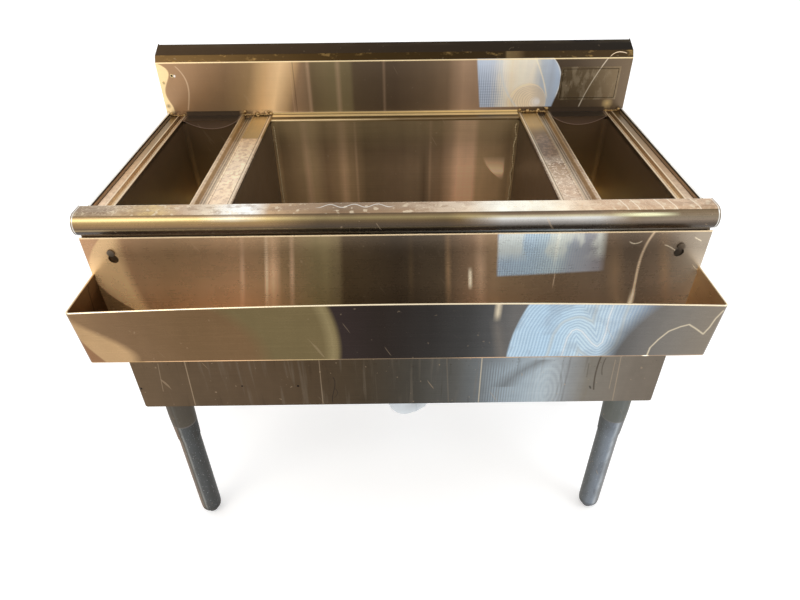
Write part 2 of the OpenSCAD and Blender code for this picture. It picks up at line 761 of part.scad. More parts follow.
module keyhole_outline() {
    circle(keyhole_slot_r);
    translate([-keyhole_slot_r, -keyhole_lift]) square([2 * keyhole_slot_r, keyhole_lift]);
    translate([0, -keyhole_lift]) circle(keyhole_hole_r);
}

// Back plate and base of the rail, folded from one sheet, with the keyholes
module rail_trough() color(steel) place() {
    slot_z = stud_z - 0.2;
    difference() {
        along_y(rail_face_y, rail_back_y) polygon([
            [-rail_base_w / 2, rail_base_z],
            [-rail_half(rail_rim_z), rail_rim_z],
            [-rail_half(rail_rim_z), rail_top_z],
            [rail_half(rail_rim_z), rail_top_z],
            [rail_half(rail_rim_z), rail_rim_z],
            [rail_base_w / 2, rail_base_z]]);
        for (x = [-keyhole_x, keyhole_x])
            along_y(rail_face_y - 1, rail_back_y + 1) translate([x, slot_z]) keyhole_outline();
    }
    translate([0, 0, rail_base_z]) linear_extrude(rail_t) polygon(concat(
        rail_front_plan(0),
        [[rail_base_w / 2, rail_face_y + rail_t / 2],
         [-rail_base_w / 2, rail_face_y + rail_t / 2]]));
}

// An end wall of the rail, which leans out like the front wall and has the same hem
module rail_end(side) color(steel) place() on_side(side) {
    low = rail_base_z + rail_t;
    lean = (rail_half(rail_rim_z) - rail_half(low)) / (rail_rim_z - low);
    section = [for (s = wall_section)
        let (z = max(s[1], low)) [rail_half(low) + lean * (z - low) - s[0], z]];
    r = rail_corner_r;
    intersection() {
        along_y(rail_face_y - rail_reach, rail_face_y) polygon(section);
        along_x(rail_base_w / 4, rail_rim_w) polygon([
            [rail_face_y, low],
            [rail_face_y - rail_base_reach + r, rail_base_z],
            [rail_face_y - rail_reach + r, rail_rim_z],
            [rail_face_y, rail_rim_z]]);
    }
}

// A shouldered stud: the head and the collar stand either side of the rail's back plate
module rail_studs() color(steel_light) place() for (x = [-keyhole_x, keyhole_x])
    translate([x, 0, stud_z]) rotate([-90, 0, 0]) {
        head_t = 2.5;
        collar_t = rail_stand - seat_gap;
        translate([0, 0, rail_face_y - seat_gap - head_t]) cylinder(r = stud_head_r, h = head_t);
        translate([0, 0, rail_face_y - seat_gap])
            cylinder(d = stud_d, h = -apron_gap + 8 - rail_face_y + seat_gap);
        translate([0, 0, apron_y - collar_t]) cylinder(r = stud_head_r, h = collar_t);
    }

module rail_stud_nuts() color(zinc) place() for (x = [-keyhole_x, keyhole_x])
    translate([x, -apron_gap, stud_z]) rotate([-90, 0, 0]) hexagon_nut(10, stud_d / 2 + running_gap, 5);

front_roll();
roll_caps();
front_panel();
side_panel(LEFT);  // left_side_panel
side_panel(RIGHT);  // right_side_panel
back_panel();
bottom_pan();
backsplash();
splash_caps();
ice_liner();
divider(LEFT);  // left_divider
divider(RIGHT);  // right_divider
side_strip(LEFT);  // left_side_strip
side_strip(RIGHT);  // right_side_strip
bottle_well(LEFT);  // left_bottle_well
bottle_well(RIGHT);  // right_bottle_well
insulation();
drain_body();
drain_gasket();
drain_locknut();
drain_strainer();
drain_adapter();
drain_pipe();
drain_elbow();
drain_outlet();
leg_channel(LEFT);  // left_leg_channel
leg_channel(RIGHT);  // right_leg_channel
leg_socket(LEFT, front_leg_y);  // front_left_socket
leg_socket(RIGHT, front_leg_y);  // front_right_socket
leg_socket(LEFT, rear_leg_y);  // rear_left_socket
leg_socket(RIGHT, rear_leg_y);  // rear_right_socket
leg_tube(LEFT, front_leg_y);  // front_left_leg
leg_tube(RIGHT, front_leg_y);  // front_right_leg
leg_tube(LEFT, rear_leg_y);  // rear_left_leg
leg_tube(RIGHT, rear_leg_y);  // rear_right_leg
foot_insert(LEFT, front_leg_y);  // front_left_insert
foot_insert(RIGHT, front_leg_y);  // front_right_insert
foot_insert(LEFT, rear_leg_y);  // rear_left_insert
foot_insert(RIGHT, rear_leg_y);  // rear_right_insert
adjustable_foot(LEFT, front_leg_y);  // front_left_foot
adjustable_foot(RIGHT, front_leg_y);  // front_right_foot
adjustable_foot(LEFT, rear_leg_y);  // rear_left_foot
adjustable_foot(RIGHT, rear_leg_y);  // rear_right_foot
socket_bolts();
socket_nuts();
leg_set_screws();
rail_trough();
rail_front();
rail_end(LEFT);  // rail_left_end
rail_end(RIGHT);  // rail_right_end
rail_studs();
rail_stud_nuts();
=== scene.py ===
"""The looks of the underbar ice bin: worn brushed stainless steel, its welds, its legs and its drain."""

import math

import bmesh
import bpy
from mathutils import Matrix, Vector


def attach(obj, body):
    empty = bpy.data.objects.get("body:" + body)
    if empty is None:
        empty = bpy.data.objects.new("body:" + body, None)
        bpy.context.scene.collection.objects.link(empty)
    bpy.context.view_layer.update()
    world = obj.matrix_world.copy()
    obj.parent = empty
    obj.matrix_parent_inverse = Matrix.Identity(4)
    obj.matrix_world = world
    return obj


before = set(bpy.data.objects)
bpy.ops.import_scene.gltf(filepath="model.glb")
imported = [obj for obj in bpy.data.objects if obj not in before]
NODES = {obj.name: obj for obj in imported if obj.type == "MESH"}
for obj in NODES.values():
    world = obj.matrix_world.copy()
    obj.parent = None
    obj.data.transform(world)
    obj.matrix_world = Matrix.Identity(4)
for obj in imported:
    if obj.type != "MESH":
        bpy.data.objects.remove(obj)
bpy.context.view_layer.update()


def linear(level):
    """A screen level from 0 to 255, as the shader's linear value."""
    share = level / 255
    return share / 12.92 if share < 0.04 else ((share + 0.055) / 1.055) ** 2.4


def colour(levels, times=1):
    """Three screen levels as the shader's colour, with their light multiplied."""
    return tuple(min(1.0, linear(level) * times) for level in levels) + (1,)


# Tones of the steel and of the reflections, highlights and shade painted on it, in screen levels: the warm
# ones from pale to dark, then grey and cool ones
GLARE = (253, 252, 246)
CREAM = (240, 224, 194)
SAND = (212, 186, 154)
ROSE = (190, 157, 127)
TAN = (152, 121, 88)
BRONZE = (120, 94, 66)
OLIVE = (116, 101, 70)
UMBER = (88, 71, 50)
COFFEE = (62, 48, 34)
SOOT = (49, 42, 38)
SLATE = (84, 84, 84)
PEWTER = (120, 114, 108)
STONE = (138, 126, 110)
DUSK = (146, 156, 168)
BLIND = (120, 148, 182)
# A painted highlight along the rail's rolled hems
HEM_HIGHLIGHT = (250, 232, 198)
SHEET = (124, 108, 88)


# Shader maths


class Wire:
    """A value in a material's nodes, which can be reckoned with like a number."""

    def __init__(self, tree, socket=None):
        self.tree = tree
        self.socket = socket

    def node(self, kind, settings=None, inputs=None, output=0):
        """A node of that kind, its settings made first, then its sockets set or joined."""
        made = self.tree.nodes.new(kind)
        for name, value in (settings or {}).items():
            if name == "stops":
                self._stops(made.color_ramp, value)
            else:
                setattr(made, name, value)
        for name, value in (inputs or {}).items():
            if isinstance(value, Wire):
                self.tree.links.new(value.socket, made.inputs[name])
            else:
                made.inputs[name].default_value = value
        return Wire(self.tree, made.outputs[output])

    @staticmethod
    def _stops(ramp, stops):
        while len(ramp.elements) < len(stops):
            ramp.elements.new(0.5)
        for element, (place, tone) in zip(ramp.elements, stops):
            element.position = place
            element.color = tone

    def _math(self, operation, first, second=0.0, clamp=False):
        settings = {"operation": operation, "use_clamp": clamp}
        return self.node("ShaderNodeMath", settings, {0: first, 1: second})

    def vector(self, operation, other, output=0):
        return self.node("ShaderNodeVectorMath", {"operation": operation}, {0: self, 1: other}, output)

    def __add__(self, other):
        return self._math("ADD", self, other)

    __radd__ = __add__

    def __sub__(self, other):
        return self._math("SUBTRACT", self, other)

    def __rsub__(self, other):
        return self._math("SUBTRACT", other, self)

    def __mul__(self, other):
        return self._math("MULTIPLY", self, other)

    __rmul__ = __mul__

    def __truediv__(self, other):
        return self._math("DIVIDE", self, other)

    def __abs__(self):
        return self._math("ABSOLUTE", self)

    def clamped(self):
        return self._math("ADD", self, 0.0, clamp=True)

    def least(self, other):
        return self._math("MINIMUM", self, other)

    def wave(self, length):
        """A ripple from 0 to 1 that repeats after a length."""
        return self._math("SINE", self * (2 * math.pi / length)) * 0.5 + 0.5

    def stretched(self, x, y, z):
        """A point, with each of its axes scaled."""
        return self.vector("MULTIPLY", (x, y, z))

    def from_point(self, other):
        return self.vector("DISTANCE", other, output=1)

    def noise(self, scale, detail=3.0, roughness=0.5, seed=0.0):
        """Soft noise from 0 to 1 at a point."""
        settings = {"noise_dimensions": "4D"}
        inputs = {"Vector": self, "W": seed, "Scale": scale, "Detail": detail, "Roughness": roughness}
        return self.node("ShaderNodeTexNoise", settings, inputs)

    def blended(self, other, share, mode="MIX"):
        """This colour with that share of another, given as a wire or as screen levels."""
        settings = {"data_type": "RGBA", "blend_type": mode}
        laid = other if isinstance(other, Wire) else colour(other)
        return self.node("ShaderNodeMix", settings, {0: share, 6: self, 7: laid}, output=2)

    def under(self, *layers):
        """This colour under others, each given as (colour, share)."""
        tone = self
        for other, share in layers:
            tone = tone.blended(other, share)
        return tone


def above(value, edge, soft):
    """1 where the value is above the edge, 0 below it, with a soft step between."""
    return ((value - edge) / soft + 0.5).clamped()


def below(value, edge, soft):
    return 1 - above(value, edge, soft)


def within(value, low, high, soft):
    """1 where the value is between two edges."""
    return above(value, low, soft) * below(value, high, soft)


def near(value, middle, half_width):
    """A soft ridge, 1 at the middle and 0 beyond its half width."""
    return (1 - abs(value - middle) / half_width).clamped()


def across(value, stops):
    """A colour that changes along a value, from stops given as (metres, red, green, blue)."""
    low, high = stops[0][0], stops[-1][0]
    places = [((at - low) / (high - low), colour(levels)) for at, *levels in stops]
    share = (value - low) / (high - low)
    return value.node("ShaderNodeValToRGB", {"stops": places}, {0: share})


def curve(height, *points):
    """Where a curve lies at a height, from points given as (place, height)."""
    terms = [place for place, _ in points]
    heights = [at for _, at in points]
    count = len(points)
    for order in range(1, count):
        for k in range(count - 1, order - 1, -1):
            terms[k] = (terms[k] - terms[k - 1]) / (heights[k] - heights[k - order])
    found = terms[-1]
    for k in range(count - 2, -1, -1):
        found = (height - heights[k]) * found + terms[k]
    return found


class Finish:
    """A material in the making, with the place on the object that its nodes start from."""

    def __init__(self, name):
        self.material = bpy.data.materials.new(name)
        self.material.use_nodes = True
        tree = self.material.node_tree
        self.shader = tree.nodes["Principled BSDF"]
        self.start = Wire(tree)
        self.place = self.start.node("ShaderNodeTexCoord", output=3)
        self.x, self.y, self.z = self.parted(self.place)

    @staticmethod
    def parted(vector):
        return [vector.node("ShaderNodeSeparateXYZ", inputs={0: vector}, output=k) for k in range(3)]

    def facing(self):
        """Which way the surface faces, as x, y and z from -1 to 1."""
        return self.parted(self.start.node("ShaderNodeTexCoord", output=1))

    def even(self, tone):
        """One tone that others are laid over."""
        return self.x.node("ShaderNodeMix", {"data_type": "RGBA"}, {0: 0, 6: colour(tone)}, output=2)

    def shaded(self, tone, shade):
        """A tone made lighter or darker, where 1 leaves it as it is."""
        grey = self.start.node("ShaderNodeCombineColor", inputs={0: shade, 1: shade, 2: shade})
        return tone.blended(grey, 1.0, "MULTIPLY")

    def distance_to(self, points):
        """The distance from a line through points given as (x, z)."""
        spread = self.place.stretched(1, 0, 1)
        line = [Vector((x, 0, z)) for x, z in points]
        nearest = None
        for start, end in zip(line, line[1:]):
            along = end - start
            offset = spread.vector("SUBTRACT", tuple(start))
            share = (offset.vector("DOT_PRODUCT", tuple(along / along.length_squared), output=1)).clamped()
            foot = share.node("ShaderNodeVectorMath", {"operation": "SCALE"}, {0: tuple(along), 3: share})
            gap = offset.from_point(foot)
            nearest = gap if nearest is None else nearest.least(gap)
        return nearest

    def upright_line(self, points, half_width):
        """A soft upright line, 1 at its middle, through two to four points given as (x, z)."""
        heights = [z for _, z in points]
        line = near(self.x, curve(self.z, *points), half_width)
        return line * within(self.z, min(heights), max(heights), 0.002)

    def level_line(self, points, half_width):
        """A soft line that runs sideways, through two to four points given as (x, z)."""
        sides = [x for x, _ in points]
        line = near(self.z, curve(self.x, *[(z, x) for x, z in points]), half_width)
        return line * within(self.x, min(sides), max(sides), 0.002)

    def spot(self, x, z, radius):
        middle = (x, 0, z)
        return (1 - self.place.stretched(1, 0, 1).from_point(middle) / radius).clamped()

    def fixed(self, metallic, roughness):
        self.shader.inputs["Metallic"].default_value = metallic
        self.shader.inputs["Roughness"].default_value = roughness

    def drive(self, socket, wire):
        self.start.tree.links.new(wire.socket, self.shader.inputs[socket])

    def bump(self, height, distance):
        """Raises the surface by the height, given from 0 to 1, times a distance in metres."""
        inputs = {"Height": height, "Distance": distance}
        self.drive("Normal", self.start.node("ShaderNodeBump", inputs=inputs))


# Finishes of the steel

GRAIN_FINE = 850
GRAIN_ALONG = 5


def grain_of(finish, axis):
    """The brush lines of the steel, which run along an axis."""
    scales = [GRAIN_FINE] * 3
    scales["xyz".index(axis)] = GRAIN_ALONG
    return finish.place.stretched(*scales).noise(1, detail=2, seed=3)


def streaks_of(finish):
    """Soft upright bands of painted reflection, as a sheet that isn't quite flat shows them."""
    return finish.place.stretched(1, 1, 0.06).noise(48, detail=4, roughness=0.6, seed=61)


def scratches_of(finish):
    """Fine scattered scratches at two slants."""
    found = None
    for slant, seed in ((0.5, 5), (-0.9, 9)):
        inputs = {"Vector": finish.place, "Rotation": (slant, slant, slant)}
        turned = finish.place.node("ShaderNodeMapping", inputs=inputs)
        streak = turned.stretched(1, 0.03, 1).noise(150, detail=1, seed=seed)
        line = above(streak, 0.74, 0.03)
        found = line if found is None else (found + line).clamped()
    return found


def scribbles_of(finish, scale, seed):
    """Fine wandering lines, as polishing leaves them."""
    return near(finish.place.noise(scale, detail=2, seed=seed), 0.5, 0.035)


def steel(name, tint, axis, roughness, wear=0.5, metallic=1, lift=1, streaks=0.2, depth=0.00002,
          gloss=0.5, brush=0.3):
    """Worn brushed steel, whose tint is a function of the finish."""
    finish = Finish(name)
    finish.shader.inputs["Specular IOR Level"].default_value = gloss
    grain = grain_of(finish, axis)
    marks = scratches_of(finish)
    cloud = finish.place.noise(9, detail=4, seed=1)
    smudge = finish.place.noise(42, detail=5, roughness=0.62, seed=2)
    shade = (grain - 0.5) * brush + (cloud - 0.5) * 0.22 + (smudge - 0.5) * (0.4 * wear) + 1
    # The streaks are painted reflections; the lift lightens or darkens the whole tint as painted light and
    # shade
    shade = (shade + (streaks_of(finish) - 0.5) * streaks) * lift
    base = finish.shaded(tint(finish), shade).blended(SAND, marks * (0.3 * wear))
    finish.drive("Base Color", base)
    finish.fixed(metallic, roughness)
    uneven = (grain - 0.5) * (0.4 * brush) + (smudge - 0.5) * (0.3 * wear) + marks * (0.3 * wear)
    finish.drive("Roughness", uneven + roughness)
    finish.bump(grain * (1.3 * brush) + smudge * 0.6 + marks * 0.2, depth)
    return finish.material


def plain(tone):
    return lambda finish: finish.even(tone)


# Lines on the rail's front, as (x, z): the bend of the blinds in its painted window reflection, and a loose
# line at the right
RAIL_BEND = [
    (0.208, 0.42), (0.243, 0.57), (0.246, 0.602), (0.251, 0.614), (0.257, 0.617), (0.265, 0.613),
    (0.284, 0.59), (0.292, 0.584), (0.298, 0.592), (0.2995, 0.61), (0.299, 0.64), (0.312, 0.76),
]
RAIL_SQUIGGLE = [
    (0.369, 0.562), (0.37, 0.581), (0.378, 0.597), (0.389, 0.613), (0.403, 0.622), (0.414, 0.626),
    (0.426, 0.618), (0.439, 0.608), (0.444, 0.621), (0.447, 0.637), (0.453, 0.652),
]
RIM_Z = 0.6603


def rail_front_tint(finish):
    """The front wall in painted reflections, from the left: tan, olive, dark, a pale window with marbled
    lines, and grey-brown; with a painted highlight on the hem and painted shade on the bend at its foot.
    """
    x, z = finish.x, finish.z
    dark_from = curve(z, (-0.1, 0.658), (-0.088, 0.602), (-0.089, 0.566))
    window_from = curve(z, (0.183, 0.657), (0.168, 0.612), (0.161, 0.566))
    window_to = curve(z, (0.352, 0.653), (0.334, 0.629), (0.308, 0.565))
    tone = across(x, [
        (-0.47, *TAN), (-0.4, 132, 104, 76), (-0.3, *BRONZE), (-0.15, *BRONZE), (0.3, *SLATE),
        (0.35, 114, 111, 108), (0.4, 132, 126, 118), (0.47, 146, 134, 118),
    ])
    olive = above(x, curve(z, (-0.243, 0.652), (-0.204, 0.604), (-0.196, 0.568)), 0.03)
    dark = across(x, [
        (-0.1, 58, 48, 46), (-0.02, *SOOT), (0.05, 54, 51, 49), (0.1, 66, 65, 64), (0.135, *SLATE),
        (0.165, 108, 106, 104),
    ])
    lines = finish.distance_to(RAIL_BEND)
    pale = across(x, [
        (0.16, 196, 219, 234), (0.22, 190, 216, 234), (0.27, 206, 226, 236), (0.31, 196, 214, 226),
        (0.36, 150, 158, 168),
    ])
    # The pale window is a painted reflection, with the blinds' lines and a painted highlight along them
    window = above(x, window_from, 0.003) * below(x, window_to, 0.03)
    pale = pale.under(
        (BLIND, lines.wave(0.0047) * 0.42),
        (GLARE, near(lines, 0.0, 0.0022) * 0.6),
        ((196, 200, 196), near(lines, 0.0215, 0.004) * 0.6),
        (DUSK, above(finish.place.noise(22, seed=73), 0.56, 0.1) * 0.35),
    )
    # Painted reflections at the window's left edge: a pale wedge and a shine
    wedge = near(x, curve(z, (0.1425, 0.66), (0.1415, 0.628)), 0.0065) * above(z, 0.637, 0.016)
    shine = near(x, curve(z, (0.1415, 0.63), (0.154, 0.564)), 0.012) * below(z, 0.63, 0.02)
    patch_from = curve(z, (-0.46, 0.65), (-0.449, 0.6), (-0.429, 0.563))
    patch_to = curve(z, (-0.458, 0.652), (-0.421, 0.618), (-0.397, 0.597), (-0.388, 0.562))
    # The hem's painted highlight
    rim = above(z, RIM_Z, 0.0008)
    tone = tone.under(
        (OLIVE, olive * below(x, 0, 0.1)),
        ((168, 152, 112), near(x, dark_from - 0.006, 0.014) * 0.45),
        (dark, within(x, dark_from + 0.004, window_to, 0.008)),
        (pale, window),
        (CREAM, wedge * 0.8),
        (PEWTER, shine * 0.7),
        # A painted highlight patch at the left end, darker at its left
        ((152, 112, 80), below(x, patch_from, 0.003) * 0.9),
        ((192, 157, 115), above(x, patch_from, 0.003) * below(x, patch_to, 0.016)),
        (CREAM, (1 - finish.distance_to(RAIL_SQUIGGLE) / 0.0019).clamped() * 0.8),
        # Painted shade on the bend at the foot
        (UMBER, below(z, 0.5622, 0.001) * 0.8),
    )
    # The hem painted pale and made lighter still
    return finish.shaded(tone.blended(HEM_HIGHLIGHT, rim), rim * 0.4 + 1)


def rail_end_tint(finish):
    """The ends of the rail: brown, with painted shade and a dark slanting line inside at the left, painted
    light in pale tan inside at the right, and a painted highlight on the hem.
    """
    toward_right = finish.facing()[0]
    shaded_inside_left = above(toward_right, 0.5, 0.2) * below(finish.x, 0, 0.1)
    lit_inside_right = below(toward_right, -0.5, 0.2) * above(finish.x, 0, 0.1)
    tone = across(finish.x, [(-0.46, *TAN), (0.0, *BRONZE), (0.46, *STONE)])
    # A dark slanting line painted on the left end's inner face
    seam = near(finish.y, curve(finish.z, (-0.2, 0.655), (-0.215, 0.575)), 0.0015)
    # Painted shade on the left end's inner face, painted light on the right's
    tone = tone.under(
        ((122, 102, 82), shaded_inside_left),
        (COFFEE, shaded_inside_left * seam),
        ((180, 158, 128), lit_inside_right),
    )
    # The right end's inner face made lighter still as painted light
    tone = finish.shaded(tone, lit_inside_right * 1.2 + 1)
    # The hem's painted highlight
    return tone.blended(HEM_HIGHLIGHT, above(finish.z, RIM_Z, 0.0008))


def rail_back_tint(finish):
    """The back plate in painted reflections: golden at its left end, then bright streaks and a pale window
    with fine blinds; lighter low down as painted light, with a painted highlight along its top edge.
    """
    x, z = finish.x, finish.z
    fan = x * ((z - 0.66) * 0.66 + 1)
    tone = across(fan, [
        (-0.46, 150, 114, 82), (-0.39, 126, 98, 70), (-0.34, *BRONZE), (-0.24, 140, 110, 80),
        (-0.16, 120, 98, 70), (-0.12, *OLIVE), (-0.088, 112, 96, 68), (-0.08, 76, 61, 42),
        (0.0, 56, 45, 33), (0.07, 72, 60, 46), (0.12, 122, 98, 76), (0.15, 132, 108, 82),
        (0.3, 96, 80, 64), (0.36, 88, 74, 60), (0.4, 104, 88, 72), (0.46, *STONE),
    ])
    # The band where the painted reflection streaks show
    painted_band = near(z, 0.66, 0.09)
    for middle, width, bright, share in (
        (-0.3, 0.02, BRONZE, 0.3), (-0.2325, 0.005, ROSE, 0.6), (-0.186, 0.013, (206, 168, 132), 0.7),
        (-0.196, 0.004, SAND, 0.7), (-0.1575, 0.005, ROSE, 0.8), (-0.106, 0.012, (134, 118, 82), 0.6),
        (0.022, 0.006, UMBER, 0.5), (0.078, 0.006, TAN, 0.6), (0.127, 0.011, ROSE, 0.6),
        (0.33, 0.016, TAN, 0.3), (0.405, 0.012, TAN, 0.4),
    ):
        tone = tone.blended(bright, near(fan, middle, width) * painted_band * share)
    # A pale painted highlight patch at the left end, beside the end wall's painted reflection
    patch_from = curve(z, (-0.428, 0.723), (-0.459, 0.664), (-0.404, 0.585))
    patch_to = curve(z, (-0.404, 0.72), (-0.404, 0.65), (-0.391, 0.585))
    patch = above(x, patch_from, 0.003) * below(x, patch_to, 0.014)
    reflected_end = below(x, patch_from, 0.003) * below(z, 0.664, 0.003)
    left = curve(z, (0.148, 0.726), (0.153, 0.648))
    right = curve(z, (0.303, 0.724), (0.309, 0.66))
    foot = curve(x, (0.648, 0.16), (0.655, 0.3))
    # The pale window with blinds is a painted reflection
    window = above(x, left, 0.004) * below(x, right, 0.012) * above(z, foot, 0.004)
    weave = x.wave(0.0037) * 0.6 + z.wave(0.0042) * 0.15
    pale = across(x, [
        (0.15, 170, 188, 202), (0.2, 176, 196, 208), (0.24, 186, 200, 200), (0.26, 156, 160, 164),
        (0.3, 126, 122, 124),
    ])
    cream = finish.place.stretched(1, 1, 0.5).noise(30, detail=4, seed=79)
    pale = pale.under(
        ((96, 112, 138), weave * below(x, 0.27, 0.05) * 0.75),
        ((206, 208, 196), above(cream, 0.52, 0.1) * above(z, 0.682, 0.02) * 0.6),
        ((222, 222, 208), near(x, 0.237, 0.004) * above(z, 0.675, 0.03) * 0.6),
    )
    # Painted highlights: a bright line and a glint
    bright = finish.upright_line([(0.377, 0.727), (0.367, 0.698), (0.365, 0.649), (0.366, 0.58)], 0.003)
    glint = near(x, 0.367, 0.006) * below(z, 0.61, 0.03)
    tone = tone.under(
        (CREAM, near(fan, 0.111, 0.004) * within(z, 0.628, 0.66, 0.012) * 0.8),
        ((176, 145, 104), patch * 0.9),
        ((104, 81, 52), reflected_end),
        (pale, window * 0.95),
        (SAND, near(x, 0.2405, 0.0012) * within(z, 0.627, 0.65, 0.01) * 0.7),
        (SAND, bright * 0.75),
        (CREAM, glint * 0.7),
    )
    # Pale painted highlight lines at the right
    for line in (
        [(0.395, 0.7), (0.404, 0.696), (0.413, 0.69)], [(0.436, 0.712), (0.447, 0.706)],
        [(0.446, 0.664), (0.452, 0.658), (0.461, 0.655)], [(0.342, 0.706), (0.352, 0.703), (0.36, 0.707)],
    ):
        tone = tone.blended(CREAM, finish.level_line(line, 0.0014) * 0.6)
    # Painted light: the lower plate made lighter, less so behind the window and just left of the middle
    low = below(z, 0.665, 0.06)
    held = within(x, 0.14, 0.28, 0.06) * 0.7 + near(x, -0.1, 0.09) * 0.7
    tone = finish.shaded(tone, low * (1.1 - held) + 1)
    # A painted highlight along the top edge
    return tone.blended((214, 190, 152), above(z, 0.7215, 0.0008) * 0.8)


FACE_TOP_Z = 0.856
SPLASH_Y = 0.2335
LEDGE_TOP_Z = 0.7615
LEDGE_HALF = 0.2395
# The top of the painted shadow over each well
WELL_SHADOW_TOP_Z = 0.7653
WELL_MIDDLE_X = 0.355
WELL_HALF = 0.0535
ARCH_FOOT_Z = 0.739
ARCH_RISE = 0.017
SPLASH_SCRATCH = [(0.398, 0.856), (0.3837, 0.831), (0.3731, 0.8089), (0.3576, 0.7659)]


def splash_window_reflection(finish):
    """The painted reflection of a pale window in the splash: fine blinds at its left, then cream, with rings
    at its foot.
    """
    x, z = finish.x, finish.z
    pale = across(x, [
        (0.155, 180, 192, 208), (0.185, 190, 199, 212), (0.203, 218, 214, 202), (0.222, 216, 204, 180),
        (0.236, 214, 208, 190), (0.262, 208, 202, 188), (0.276, 168, 174, 180), (0.308, 160, 174, 192),
    ])
    blinds = x.wave(0.0042) * 0.75 + z.wave(0.005) * below(z, 0.815, 0.01) * 0.35
    veil = finish.place.stretched(1, 1, 0.2).noise(90, seed=71)
    bend = (finish.place.noise(30, seed=73) - 0.5) * 0.006
    rings = finish.place.stretched(1, 0, 0.8).from_point((0.278, 0, 0.6208)) + (x - 0.278) * 0.62 + bend
    bright_arc = near(x, curve(z, (0.266, 0.852), (0.281, 0.82), (0.291, 0.79)), 0.0025)
    return pale.under(
        ((104, 120, 146), blinds * below(x, 0.204, 0.03) * below(z, 0.84, 0.03) * 0.6),
        ((216, 208, 190), above(veil, 0.52, 0.1) * within(x, 0.19, 0.27, 0.02) * 0.5),
        ((208, 188, 156), below(rings, 0.021, 0.006) * 0.6),
        ((150, 138, 124), rings.wave(0.0017) * below(rings, 0.022, 0.005) * 0.3),
        ((214, 214, 216), below(rings, 0.005, 0.005) * 0.7),
        ((240, 216, 172), near(rings, 0.021, 0.0016) * 0.4),
        ((190, 198, 204), near(x, curve(z, (0.2, 0.85), (0.208, 0.81), (0.225, 0.78)), 0.004) * 0.5),
        ((238, 224, 190), bright_arc * above(z, 0.785, 0.01) * 0.6),
        ((152, 160, 172), near(x, 0.297, 0.01) * above(z, 0.8, 0.04) * 0.6),
    )


